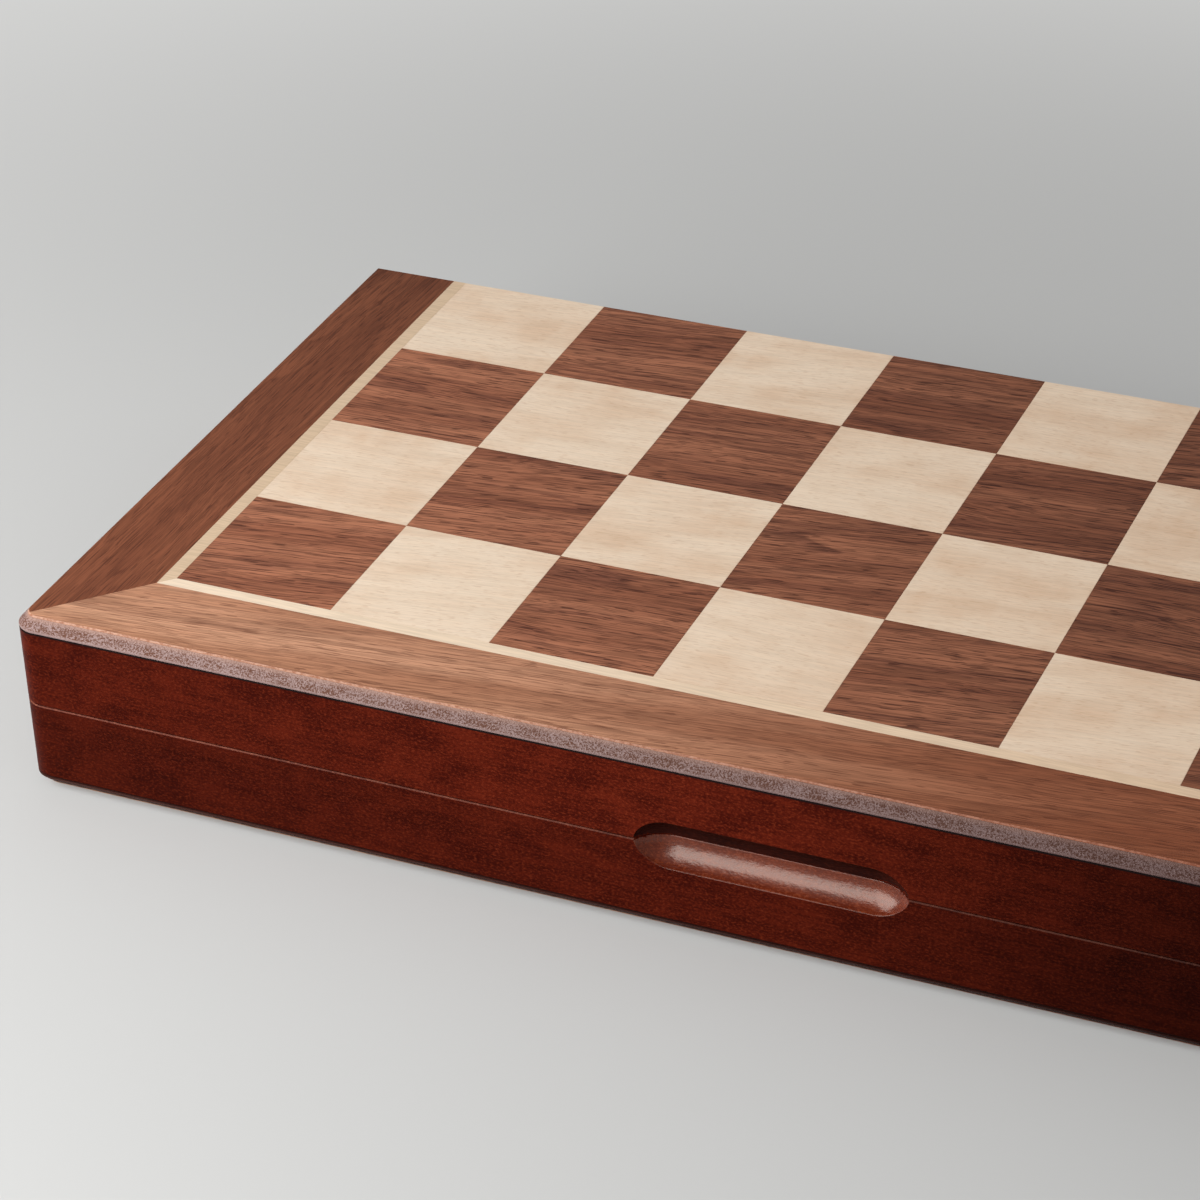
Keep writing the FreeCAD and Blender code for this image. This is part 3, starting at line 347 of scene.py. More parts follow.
def edge_of_tile(graph):
    """How far a point is from the nearest edge of its square."""
    from_corner = graph.vector("SUBTRACT", graph.place(), BOARD_CORNER)
    x, y, _ = graph.parts(graph.vector("FRACTION", graph.vector("DIVIDE", from_corner, [SQUARE] * 3)))
    inside = []
    for share in (x, y):
        off_middle = graph.calc("ABSOLUTE", graph.calc("SUBTRACT", share, 0.5))
        inside.append(graph.calc("SUBTRACT", 0.5, off_middle))
    return graph.calc("MULTIPLY", graph.calc("MINIMUM", *inside), SQUARE)


def maple(name, cell):
    """Maple veneer: cream with soft clouds, silky fibres, small tan flecks and a tan glue line."""
    graph = material_graph(name)
    place = grain_place(graph, "X", MAPLE_LEAN, cell)
    clouds = graph.ease(graph.noise(place, MAPLE_CLOUD, 3), 0.32, 0.7)
    curl = graph.ease(graph.noise(place, MAPLE_CURL, 2), 0.35, 0.7)
    rings = growth_rings(graph, place, MAPLE_RING_WIDTH, MAPLE_RING_COUNT)
    fibres = graph.noise(place, MAPLE_FIBRE, 2)
    flecks = graph.ease(graph.noise(place, MAPLE_FLECK, 0), 0.62, 0.72)
    colour = graph.mix(clouds, MAPLE_CREAM, MAPLE_TAN)
    colour = graph.layer(colour, curl, 0.35, MAPLE_SILK)
    colour = graph.layer(colour, rings, 0.14, MAPLE_LATE_WOOD)
    colour = graph.layer(colour, flecks, 0.3, MAPLE_FLECK_TONE)
    # Painted shade: the maple darker towards the right
    colour = graph.painted_light_gradient(colour, even_tint(1.0), MAPLE_RIGHT_SHADE)
    colour = graph.shaded(graph.ease(fibres, 0.25, 0.75), colour, 0.95, 1.04)
    glue = graph.ease(edge_of_tile(graph), VENEER_JOINT, GLUE_REACH, 0.2, 0.0)
    return graph.shade({
        "Base Color": graph.mix(glue, colour, GLUE),
        "Roughness": graph.roughness(fibres, 0.36, 0.48),
        "Specular IOR Level": 0.1,
        "Normal": graph.bump(fibres, 0.012, 0.5),
    })


# The stringing's colours, the painted shade that darkens it towards the right, and fibres in millimetres
STRINGING_FRONT = (0.775, 0.625, 0.47)
STRINGING_SIDE = (0.63, 0.465, 0.315)
STRINGING_RIGHT_SHADE = (0.84, 0.74, 0.65)
STRINGING_FIBRE = (9, 0.5, 0.5)


def stringing_maple():
    """The pale line round the squares: plain maple at the front, a yellower strip at each side."""
    graph = material_graph("maple_stringing")
    fibres = graph.noise(grain_place(graph, "X"), STRINGING_FIBRE, 2)
    x, y, _ = graph.parts(graph.place())
    past_side = graph.calc("SUBTRACT", graph.calc("ABSOLUTE", x), -BOARD_CORNER.x)
    past_front = graph.calc("SUBTRACT", BOARD_CORNER.y, y)
    at_side = graph.calc("GREATER_THAN", past_side, past_front)
    # Painted light and shade: the front stringing a little lighter at the left and darker at the right
    front = graph.painted_light_gradient(STRINGING_FRONT, even_tint(1.02), STRINGING_RIGHT_SHADE)
    colour = graph.mix(at_side, front, STRINGING_SIDE)
    return graph.shade({
        "Base Color": graph.shaded(graph.ease(fibres, 0.25, 0.75), colour, 0.92, 1.06),
        "Roughness": 0.4,
        "Specular IOR Level": 0.12,
        "Normal": graph.bump(fibres, 0.012, 0.5),
    })


# Stain colours: deep, bright, flecks
WALL_STAIN = ((0.033, 0.0028, 0.0013), (0.088, 0.0094, 0.0035), (0.16, 0.026, 0.009))
LOWER_LIP_STAIN = ((0.075, 0.0075, 0.001), (0.135, 0.0175, 0.0025), (0.20, 0.038, 0.009))
# The upper lip's colours are painted shade, far darker than the walls' stain
UPPER_LIP_SHADE = ((0.014, 0.0019, 0.0011), (0.03, 0.0042, 0.002), (0.05, 0.009, 0.004))
ARRIS_STAIN = ((0.06, 0.012, 0.0065), (0.15, 0.042, 0.024), (0.24, 0.085, 0.052))
# The stain's pattern, in millimetres
STAIN_SPECK = (0.8, 0.5, 0.45)
STAIN_CLOUD = (10, 10, 6)
STAIN_STREAK = (22, 22, 0.8)


def stain(graph, deep, bright, fleck):
    """Stain that takes unevenly, in clouds, faint streaks and flecks. Returns its colour and its specks."""
    place = graph.place()
    specks = graph.noise(place, STAIN_SPECK, 2, 0.65)
    clouds = graph.noise(place, STAIN_CLOUD, 3, 0.6)
    streaks = graph.noise(place, STAIN_STREAK, 2)
    depth = graph.calc("ADD", graph.calc("MULTIPLY", clouds, 0.5), graph.calc("MULTIPLY", streaks, 0.3))
    depth = graph.calc("ADD", depth, graph.calc("MULTIPLY", specks, 0.55))
    colour = graph.mix(graph.ease(depth, 0.48, 0.86), deep, bright)
    return graph.mix(graph.ease(specks, 0.5, 0.74, 0.0, 0.5), colour, fleck), specks


# The walls' painted light and shade: how fast the change moves towards the back, and where the darker end
# starts and ends
WALL_SLOPE = -2.0
WALL_SHADE_START = -20 * MM
WALL_SHADE_END = 110 * MM
# Half of the step of painted shade at the parting, where the lower half turns darker, and the painted shadow
# line under each panel with its soft edge
PARTING_BLEND = 0.2 * MM
SHADOW_BAND_START = 0.7 * MM
SHADOW_BAND_END = 0.35 * MM
SHADOW_BAND_TONE = (0.006, 0.003, 0.003)


def stained_frame():
    """The walls: red-brown stain under a satin lacquer, with painted light and shade along them, the lower
    half painted darker as shade, and a painted shadow line beside each panel.
    """
    graph = material_graph("stained_frame")
    colour, specks = stain(graph, *WALL_STAIN)
    # Painted light towards the middle and painted shade towards the right, changing also towards the back
    colour = graph.painted_light_gradient(colour, even_tint(0.95), even_tint(1.28), WALL_SLOPE, CASE_LEFT, CASE_MIDDLE)
    colour = graph.painted_light_gradient(colour, even_tint(1.0), even_tint(0.28), WALL_SLOPE, WALL_SHADE_START, WALL_SHADE_END)
    # Painted shade: the lower half darker than the upper, with a soft step at the parting
    _, _, z = graph.parts(graph.place())
    upper = graph.ease(z, PARTING - PARTING_BLEND, PARTING + PARTING_BLEND)
    colour = graph.shaded(upper, colour, 0.78, 1.0)
    # Painted shadow: a near-black line beside each panel
    from_parting = graph.calc("ABSOLUTE", graph.calc("SUBTRACT", z, PARTING))
    in_shadow_band = graph.ease(from_parting, WALL_HEIGHT - SHADOW_BAND_START, WALL_HEIGHT - SHADOW_BAND_END)
    return graph.shade({
        "Base Color": graph.mix(in_shadow_band, colour, SHADOW_BAND_TONE),
        "Roughness": graph.roughness(specks, 0.36, 0.5),
        "Specular IOR Level": 0.025,
        "Normal": graph.bump(specks, 0.03, 0.5),
    })


# The thick lacquer's ripple in millimetres, the roundness of its edges and the tint of its gloss
LACQUER_PEEL = (1.5, 0.8, 0.8)
LACQUER_ROUND = 0.5 * MM
LACQUER_GLOSS = (1.0, 0.84, 0.75)


def recess_lacquer():
    """The lower lip of the finger recess, where the lacquer is thick, glossy and not quite smooth."""
    graph = material_graph("recess_lacquer")
    colour, specks = stain(graph, *LOWER_LIP_STAIN)
    peel = graph.noise(graph.place(), LACQUER_PEEL, 2, 0.6)
    soft_edge = graph.add("Bevel")
    soft_edge.samples = 4
    soft_edge.inputs["Radius"].default_value = LACQUER_ROUND
    return graph.shade({
        "Base Color": colour,
        "Roughness": graph.roughness(specks, 0.22, 0.3),
        "Specular IOR Level": 0.65,
        "Specular Tint": LACQUER_GLOSS,
        "Normal": graph.bump(peel, 0.1, 0.7, soft_edge.outputs[0]),
    })


def recess_shade():
    """The upper lip of the finger recess, painted dark as the shade on its downward-facing surface."""
    graph = material_graph("recess_shade")
    colour, specks = stain(graph, *UPPER_LIP_SHADE)
    return graph.shade({
        "Base Color": colour,
        "Roughness": 0.45,
        "Specular IOR Level": 0.06,
        "Normal": graph.bump(specks, 0.03, 0.5),
    })


def pale_arris():
    """The narrow edges where the two rims meet, paler than the walls, with painted light at the left and
    painted shade at the right.
    """
    graph = material_graph("pale_arris")
    colour, specks = stain(graph, *ARRIS_STAIN)
    return graph.shade({
        "Base Color": graph.painted_light_gradient(colour, even_tint(1.2), even_tint(0.25)),
        "Roughness": graph.roughness(specks, 0.3, 0.5),
        "Specular IOR Level": 0.06,
    })


# The panel edge's painted reflection of the light, its painted highlight along the top, its fibres, and its
# painted shade at the right
EDGE_PAINTED_REFLECTION = (0.28, 0.185, 0.17)
EDGE_PAINTED_HIGHLIGHT = (0.32, 0.19, 0.15)
EDGE_FIBRE_TONE = (0.12, 0.047, 0.027)
EDGE_RIGHT_SHADE = (0.26, 0.2, 0.2)
EDGE_SLOPE = -1.0
# Its pattern, in millimetres
EDGE_FIBRE = (0.4, 0.4, 0.34)
EDGE_PATCH = (6, 3, 3)


def panel_edge(name, tint, gloss):
    """A panel's bevelled edge: brown fibres through a pale painted reflection of the light, with a warmer
    painted highlight along the top.
    """
    graph = material_graph(name)
    place = graph.place()
    fine = graph.noise(place, EDGE_FIBRE, 2, 0.65)
    patches = graph.noise(place, EDGE_PATCH, 2)
    _, _, z = graph.parts(place)
    low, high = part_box("upper_panel_core")
    from_parting = graph.calc("ABSOLUTE", graph.calc("SUBTRACT", z, PARTING))
    up = graph.calc("DIVIDE", graph.calc("SUBTRACT", from_parting, low.z - PARTING), high.z - low.z)
    # The fibres fade out near the bottom and the top, where the painted reflection shows plain
    speckled = graph.calc("MULTIPLY", graph.ease(up, 0.1, 0.22), graph.ease(up, 0.66, 0.95, 1.0, 0.3))
    specks = graph.ease(graph.calc("ADD", fine, graph.calc("MULTIPLY", patches, 0.3)), 0.54, 0.76)
    specks = graph.calc("MULTIPLY", specks, speckled)
    painted_reflection = graph.mix(graph.ease(up, 0.6, 0.95), EDGE_PAINTED_REFLECTION, EDGE_PAINTED_HIGHLIGHT)
    colour = graph.mix(specks, painted_reflection, EDGE_FIBRE_TONE)
    # Painted shade: the edge darker towards the right
    right_shade = [share * part for share, part in zip(EDGE_RIGHT_SHADE, tint)]
    # The tint, where it is below one, paints the edge darker as shade
    return graph.shade({
        "Base Color": graph.painted_light_gradient(colour, tint, right_shade, EDGE_SLOPE),
        "Roughness": graph.ease(specks, 0.0, 1.0, 0.36, 0.7),
        "Specular IOR Level": gloss,
        "Normal": graph.bump(fine, 0.2, 1.0),
    })


# The border's rubbed edge: colours, a painted highlight at the left and painted shade at the right, and
# nicks in millimetres
RUBBED_PALE = (0.43, 0.21, 0.135)
RUBBED_DEEP = (0.27, 0.10, 0.052)
VENEER_EDGE_LEFT_HIGHLIGHT = (1.1, 1.25, 1.35)
VENEER_EDGE_RIGHT_SHADE = (0.56, 0.36, 0.28)
NICK = (0.8, 0.8, 0.4)


def veneer_edge():
    """The rubbed outer edge of the border strips, where bare wood takes the stain orange, with a painted
    highlight at the left and painted shade at the right.
    """
    graph = material_graph("veneer_edge")
    nicks = graph.noise(graph.place(), NICK, 2, 0.6)
    colour = graph.mix(graph.ease(nicks, 0.35, 0.7), RUBBED_PALE, RUBBED_DEEP)
    return graph.shade({
        "Base Color": graph.painted_light_gradient(colour, VENEER_EDGE_LEFT_HIGHLIGHT, VENEER_EDGE_RIGHT_SHADE),
        "Roughness": graph.roughness(nicks, 0.4, 0.6),
        "Specular IOR Level": 0.15,
    })


# The turned wood's figure, in millimetres along and across the grain
TURNED_BAND = (160, 5, 5)
TURNED_STREAK = (60, 1.2, 1.2)
TURNED_FIBRE = (9, 0.35, 0.35)


def turned_wood(name, light, middle, dark, gloss, cell=None):
    """Lacquered wood of the turned pieces, its grain along the turning axis."""
    graph = material_graph(name)
    place = grain_place(graph, "Y", cell=cell)
    bands = graph.ease(graph.noise(place, TURNED_BAND, 3), 0.32, 0.68)
    streaks = graph.ease(graph.noise(place, TURNED_STREAK, 3, 0.6), 0.54, 0.76)
    fibres = graph.noise(place, TURNED_FIBRE, 2)
    colour = graph.layer(graph.mix(bands, light, middle), streaks, 0.6, dark)
    return graph.shade({
        "Base Color": graph.shaded(graph.ease(fibres, 0.25, 0.75), colour, 0.88, 1.1),
        "Roughness": graph.roughness(fibres, gloss, gloss + 0.12),
        "Specular IOR Level": 0.4,
        "Coat Weight": 0.25,
        "Coat Roughness": 0.15,
        "Normal": graph.bump(fibres, 0.015, 0.5),
    })


# Patches of tarnish, in millimetres
TARNISH = (3, 3, 3)


def metal(name, clean, tarnished, brush_sizes):
    """Plated or solid metal with fine brushing and a little tarnish."""
    graph = material_graph(name)
    place = graph.place()
    brushing = graph.noise(place, brush_sizes, 2)
    tarnish = graph.ease(graph.noise(place, TARNISH, 3), 0.5, 0.75)
    return graph.shade({
        "Base Color": graph.mix(tarnish, clean, tarnished),
        "Metallic": 1.0,
        "Roughness": graph.ease(graph.calc("ADD", brushing, tarnish), 0.3, 1.5, 0.2, 0.42),
        "Normal": graph.bump(brushing, 0.01, 0.4),
    })


# Patches where the pile lies another way, in millimetres, and the colour of its sheen
PILE_PATCH = (26, 18, 18)
PILE_SHEEN = (0.35, 0.75, 0.5)


def pile(name, deep, raised, fibre):
    """Short dense pile, such as flock or felt, with a soft sheen."""
    graph = material_graph(name)
    place = graph.place()
    fibres = graph.noise(place, (fibre, fibre, fibre), 3, 0.7)
    patches = graph.noise(place, PILE_PATCH, 2)
    share = graph.ease(graph.calc("ADD", fibres, graph.calc("MULTIPLY", patches, 0.35)), 0.4, 0.95)
    return graph.shade({
        "Base Color": graph.mix(share, deep, raised),
        "Roughness": 0.95,
        "Specular IOR Level": 0.1,
        "Sheen Weight": 0.5,
        "Sheen Roughness": 0.5,
        "Sheen Tint": PILE_SHEEN,
        "Normal": graph.bump(fibres, 0.15, 0.7),
    })


def dress(material, *names):
    for name in names:
        mesh = nodes[name].data
        mesh.materials.clear()
        mesh.materials.append(material)


def is_sloping(face):
    return SLOPING[0] < abs(face.normal.z) < SLOPING[1]


# Painted light and shade on the walnut: tints from left to right, lighter and paler at the left and darker
# at the right, with the slope towards the back and the ends of the change where they differ
SQUARES_PAINTED_LIGHT = (even_tint(1.2), (0.6, 0.55, 0.53), 0.5)
FRONT_BORDER_PAINTED_LIGHT = ((1.25, 1.36, 1.42), (0.56, 0.38, 0.31), 0.0, CASE_LEFT, 120 * MM)
SIDE_BORDER_PAINTED_LIGHT = (even_tint(0.93), even_tint(0.56), 1.0)
# How far the grain of each walnut leans from its straight line, at least and at most
SQUARES_LEAN = (0.02, 0.14)
FRONT_BORDER_LEAN = (0.1, 0.1)
SIDE_BORDER_LEAN = (0.02, 0.02)
# Painted shade on the lower panel's downward-facing edge
LOWER_EDGE_SHADE = (0.22, 0.13, 0.11)


def dress_panels():
    """Materials of the panel cores and the veneers of both halves."""
    cell = (SQUARE, SQUARE, 1)
    side = walnut("walnut_side_border", "Y", WALNUT_SHADE_TONES, SIDE_BORDER_LEAN, SIDE_BORDER_PAINTED_LIGHT, 0.7)
    veneers = {
        "dark_squares": walnut(
            "walnut_squares", "X", WALNUT_TONES, SQUARES_LEAN, SQUARES_PAINTED_LIGHT, 1.0, cell),
        "light_squares": maple("maple_squares", cell),
        "stringing": stringing_maple(),
        "border_front": walnut(
            "walnut_front_border", "X", WALNUT_SHEEN_TONES, FRONT_BORDER_LEAN, FRONT_BORDER_PAINTED_LIGHT, 0.75),
        "border_left": side,
        "border_right": side,
    }
    # The lower panel's edge is a duller copy of the upper one, painted darker as shade
    cores = {
        "upper": panel_edge("panel_edge", even_tint(1.0), 0.2),
        "lower": panel_edge("shaded_dull_panel_edge", LOWER_EDGE_SHADE, 0.03),
    }
    rubbed = veneer_edge()
    for half in HALVES:
        dress(cores[half], f"{half}_panel_core")
        for veneer, material in veneers.items():
            dress(material, f"{half}_{veneer}")
            if veneer.startswith("border"):
                finish_veneer_edge(f"{half}_{veneer}", rubbed)


def finish_veneer_edge(name, rubbed):
    """Gives the sloping outer edge of a border strip its own finish."""
    mesh = nodes[name].data
    mesh.materials.append(rubbed)
    for face in mesh.polygons:
        if is_sloping(face):
            face.material_index = 1


def dress_walls():
    """Materials of the walls of both halves."""
    frame_stain = stained_frame()
    lip_and_rim_materials = (recess_lacquer(), recess_shade(), pale_arris())
    for half in HALVES:
        for side in ("front", "back", *SIDES):
            name = f"{half}_wall_{side}"
            dress(frame_stain, name)
            finish_wall_edges(name, lip_and_rim_materials)


def finish_wall_edges(name, lip_and_rim_materials):
    """Gives the lip of the finger recess and the arrises of a wall's rim their own finishes."""
    mesh = nodes[name].data
    for lip_and_rim_material in lip_and_rim_materials:
        mesh.materials.append(lip_and_rim_material)
    lip_slot = 1 if name.startswith("lower") else 2
    arris_slot = 3
    for face in mesh.polygons:
        at_rim = abs(face.center.z - PARTING) < RIM_BEVEL
        behind_front = FACE_SKIN < face.center.y - FRONT_FACE < RECESS_DEPTH
        in_recess = behind_front and abs(face.center.x) < RECESS_REACH
        if name.endswith("front") and in_recess and not at_rim:
            face.material_index = lip_slot
        elif at_rim and is_sloping(face):
            face.material_index = arris_slot


# Colours of the metals, clean and tarnished, and their brushing in millimetres
BRASS = ((0.80, 0.57, 0.22), (0.50, 0.31, 0.11), (9, 0.25, 0.25))
NICKEL = ((0.66, 0.65, 0.62), (0.42, 0.40, 0.37), (1.2, 1.2, 1.2))


def dress_fittings():
    brass = metal("hinge_brass", *BRASS)
    nickel = metal("magnet_nickel", *NICKEL)
    for side in SIDES:
        dress(brass, f"{side}_hinge_lower_leaf", f"{side}_hinge_upper_leaf", f"{side}_hinge_pin")
    for half in HALVES:
        dress(brass, f"{half}_hinge_screws")
        dress(nickel, f"{half}_magnet_left", f"{half}_magnet_right")


# Each army's wood: light, middle and dark colours, and how rough its lacquer is
ARMY_TONES = {
    "light": ((0.72, 0.50, 0.27), (0.62, 0.40, 0.19), (0.42, 0.24, 0.10), 0.3),
    "dark": ((0.105, 0.038, 0.021), (0.06, 0.021, 0.013), (0.018, 0.007, 0.005), 0.28),
}
# From one stacked checker to the next
CHECKER_PITCH = 5.65 * MM


def dress_pieces():
    """Materials of the chess pieces and checkers. Returns the wood of each army."""
    woods = {}
    for army in ARMIES:
        woods[army] = turned_wood(f"{army}_turned_wood", *ARMY_TONES[army])
        sliced = turned_wood(f"{army}_checker_wood", *ARMY_TONES[army], (1, CHECKER_PITCH, 1))
        single = [f"{army}_{man}" for man in ("king", "queen", "pawns")]
        paired = [f"{army}_{man}_{n}" for man in ("bishop", "rook") for n in (1, 2)]
        dress(woods[army], *single, *paired)
        dress(sliced, f"{army}_checkers")
    return woods


# How near two points are to be joined, and the sizes of the faces of the new skins
WELD_REACH = 0.002 * MM
KNIGHT_VOXEL = 0.36 * MM
TRAY_VOXEL = 0.75 * MM


def welded(name):
    """A new mesh in the shape of a CAD node, its faces joined where they meet."""
    mesh = nodes[name].data.copy()
    work = bmesh.new()
    work.from_mesh(mesh)
    bmesh.ops.remove_doubles(work, verts=work.verts, dist=WELD_REACH)
    work.to_mesh(mesh)
    work.free()
    return mesh


def new_piece(name, mesh, node, material):
    """A piece that stands for a CAD node and rides on the node's body."""
    mesh.materials.clear()
    mesh.materials.append(material)
    piece = bpy.data.objects.new(name, mesh)
    bpy.context.scene.collection.objects.link(piece)
    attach(piece, nodes[node]["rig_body"])
    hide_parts(node)
    return piece


def reskin(piece, voxel, rounds):
    """Gives a piece an even skin of small faces, with its sharp edges softened."""
    skin = piece.modifiers.new("skin", "REMESH")
    skin.mode = "VOXEL"
    skin.voxel_size = voxel
    skin.use_smooth_shade = True
    soften = piece.modifiers.new("soften", "SMOOTH")
    soften.factor = 0.5
    soften.iterations = rounds
    finished = piece.evaluated_get(bpy.context.evaluated_depsgraph_get())
    mesh = bpy.data.meshes.new_from_object(finished)
    piece.modifiers.clear()
    piece.data = mesh


# The knight's carving, in millimetres across its axis and up from its foot
KNIGHT_FOOT_TOP = 9.5
KNIGHT_EYE = Vector((-2.3, 34.4))
KNIGHT_CHEEK = Vector((0.2, 28.6))
KNIGHT_NOSTRIL = Vector((-9.0, 25.4))
KNIGHT_MOUTH = [Vector((-8.2, 22.2)), Vector((-6.6, 22.9)), Vector((-4.7, 24.4))]
KNIGHT_MANE = [
    Vector((1.0, 41.0)),
    Vector((2.3, 36.0)),
    Vector((3.6, 28.0)),
    Vector((3.9, 20.0)),
    Vector((2.6, 11.0)),
]
# Height and width of each swelling, or cut where the height is below zero
CHEEK_SWELL = (0.7, 3.4)
EYE_BALL = (0.75, 0.75)
EYE_SOCKET = (-0.6, 1.6)
NOSTRIL_CUT = (-0.55, 0.75)
MOUTH_CUT = (-0.5, 0.5)
MANE_CUT = (-0.6, 0.6)
# Where the locks of the mane start across and up, how soon they are full, and their form
LOCKS_ACROSS = 3.1
LOCKS_UP = 11
LOCKS_FULL_ACROSS = 1.4
LOCKS_FULL_UP = 3
LOCK_WIDTH = 2.7
LOCK_SLANT = 0.55
LOCK_HEIGHT = 0.32


def swell(distance, height, width):
    """A smooth swelling that is highest at no distance and ends at about twice the width."""
    return height * math.exp(-((distance / width) ** 2))


def off_path(point, path):
    """How far a point is from the nearest stretch of a path."""
    nearest = []
    for start, end in zip(path, path[1:]):
        along = end - start
        share = max(0, min(1, (point - start).dot(along) / along.length_squared))
        nearest.append((point - start - share * along).length)
    return min(nearest)


def mane_locks(point):
    """The ridges of the mane, which rise gently behind its edge."""
    across = min(1, max(0, (point.x - LOCKS_ACROSS) / LOCKS_FULL_ACROSS))
    up = min(1, max(0, (point.y - LOCKS_UP) / LOCKS_FULL_UP))
    ridge = math.sin((point.y + LOCK_SLANT * point.x) * math.tau / LOCK_WIDTH)
    return LOCK_HEIGHT * across * up * ridge


def knight_relief(point):
    """How far the carving stands out at a point of the knight's side, all in millimetres."""
    eye = (point - KNIGHT_EYE).length
    relief = swell((point - KNIGHT_CHEEK).length, *CHEEK_SWELL)
    relief += swell(eye, *EYE_BALL) + swell(eye, *EYE_SOCKET)
    relief += swell((point - KNIGHT_NOSTRIL).length, *NOSTRIL_CUT)
    relief += swell(off_path(point, KNIGHT_MOUTH), *MOUTH_CUT)
    relief += swell(off_path(point, KNIGHT_MANE), *MANE_CUT)
    return relief + mane_locks(point)


def add_knights(woods):
    """Knights with a carved head: eye, nostril, mouth, cheek and a mane in locks."""
    for army in ARMIES:
        for number in (1, 2):
            node = f"{army}_knight_{number}"
            low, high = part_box(node)
            piece = new_piece(f"{node}_carved", welded(node), node, woods[army])
            reskin(piece, KNIGHT_VOXEL, 4)
            axis = Vector(((low.x + high.x) / 2, low.y, (low.z + high.z) / 2))
            normals = [vertex.normal.copy() for vertex in piece.data.vertices]
            for vertex, normal in zip(piece.data.vertices, normals):
                place = (vertex.co - axis) / MM
                if place.y > KNIGHT_FOOT_TOP:
                    vertex.co += normal * knight_relief(place.xy) * abs(normal.z) * MM


def finished_mesh(work, name):
    """The mesh of a finished bmesh, its faces turned outwards and shaded smooth."""
    bmesh.ops.recalc_face_normals(work, faces=work.faces)
    mesh = bpy.data.meshes.new(name)
    work.to_mesh(mesh)
    work.free()
    mesh.shade_smooth()
    return mesh


def add_tray(flock):
    """The flocked foam tray, with soft edges round its pockets."""
    tray = new_piece("flocked_tray", welded("piece_tray"), "piece_tray", flock)
    reskin(tray, TRAY_VOXEL, 3)


# The lining: radius of its turned-in edges, its gentle swell, and the faces along and across it
LINING_ROUND = 0.9 * MM
LINING_SWELL = 0.05 * MM
LINING_WAVE_ALONG = 17 * MM
LINING_WAVE_ACROSS = 13 * MM
LINING_COLUMNS = 220
LINING_ROWS = 104


def edge_crowded(share):
    """Spreads even shares so that they lie closer together near 0 and 1."""
    return (1 - math.cos(math.pi * share)) / 2


def lining_rise(x, y, width, depth):
    """How far the lining's face lies above its lowest level, at x and y from its corner."""
    edge = min(x, y, width - x, depth - y)
    turned_in = LINING_ROUND * (1 - math.sqrt(1 - max(0, 1 - edge / LINING_ROUND) ** 2))
    wave = math.sin(x / LINING_WAVE_ALONG) * math.sin(y / LINING_WAVE_ACROSS)
    return turned_in + LINING_SWELL * (1 - wave)


def lining_grid(work, low, high, is_back):
    """One side of the lining, as rows of points joined by faces."""
    width, depth = high.x - low.x, high.y - low.y
    grid = []
    for row in range(LINING_ROWS + 1):
        y = depth * edge_crowded(row / LINING_ROWS)
        line = []
        for column in range(LINING_COLUMNS + 1):
            x = width * edge_crowded(column / LINING_COLUMNS)
            z = high.z if is_back else low.z + lining_rise(x, y, width, depth)
            line.append(work.verts.new((low.x + x, low.y + y, z)))
        grid.append(line)
    for line, after in zip(grid, grid[1:]):
        for column in range(LINING_COLUMNS):
            corners = [line[column], after[column], after[column + 1], line[column + 1]]
            work.faces.new(corners[::-1] if is_back else corners)


def add_lining(flock):
    """The lining of the lid: one cut sheet, its edges turned in and its face not quite flat."""
    low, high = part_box("lid_lining")
    work = bmesh.new()
    for is_back in (False, True):
        lining_grid(work, low, high, is_back)
    bmesh.ops.bridge_loops(work, edges=[edge for edge in work.edges if edge.is_boundary])
    lining = new_piece("lining_sheet", finished_mesh(work, "lining"), "lid_lining", flock)


# Reach towards the rim and depth of a felt's outline, as shares of its thickness
FELT_PROFILE = ((0.35, 0.0), (0.75, 0.06), (0.95, 0.3), (1.0, 0.6), (1.0, 1.0), (0.6, 1.0))
FELT_SIDES = 56


def islands(mesh):
    """The points of each separate part of a mesh."""
    work = bmesh.new()
    work.from_mesh(mesh)
    groups = []
    left = set(work.verts)
    while left:
        group = {left.pop()}
        edge = list(group)
        while edge:
            vertex = edge.pop()
            near = {other for link in vertex.link_edges for other in link.verts} & left
            left -= near
            group |= near
            edge += near
        groups.append([vertex.co.copy() for vertex in group])
    work.free()
    return groups


def felt_discs(name):
    """Where a node's discs are: the middle of the front face, the radius and the thickness of each."""
    mesh = welded(name)
    discs = []
    for points in islands(mesh):
        low = Vector(min(point[axis] for point in points) for axis in range(3))
        high = Vector(max(point[axis] for point in points) for axis in range(3))
        middle = (low + high) / 2
        discs.append((Vector((middle.x, low.y, middle.z)), (high.x - low.x) / 2, high.y - low.y))
    bpy.data.meshes.remove(mesh)
    return sorted(discs, key=lambda disc: tuple(disc[0]))


def add_disc(work, middle, radius, thickness):
    """One felt disc with soft cut edges, as rings of points joined by faces."""
    rings = []
    for reach_share, depth_share in FELT_PROFILE:
        reach = radius - (1 - reach_share) * thickness
        level = Vector((0, depth_share * thickness, 0))
        ring = []
        for side in range(FELT_SIDES):
            turn = math.tau * side / FELT_SIDES
            out = Vector((math.cos(turn), 0, math.sin(turn)))
            ring.append(work.verts.new(middle + reach * out + level))
        rings.append(ring)
    for ring, after in zip(rings, rings[1:]):
        for side in range(FELT_SIDES):
            onward = (side + 1) % FELT_SIDES
            work.faces.new((ring[side], ring[onward], after[onward], after[side]))
    work.faces.new(rings[0])
    work.faces.new(rings[-1])


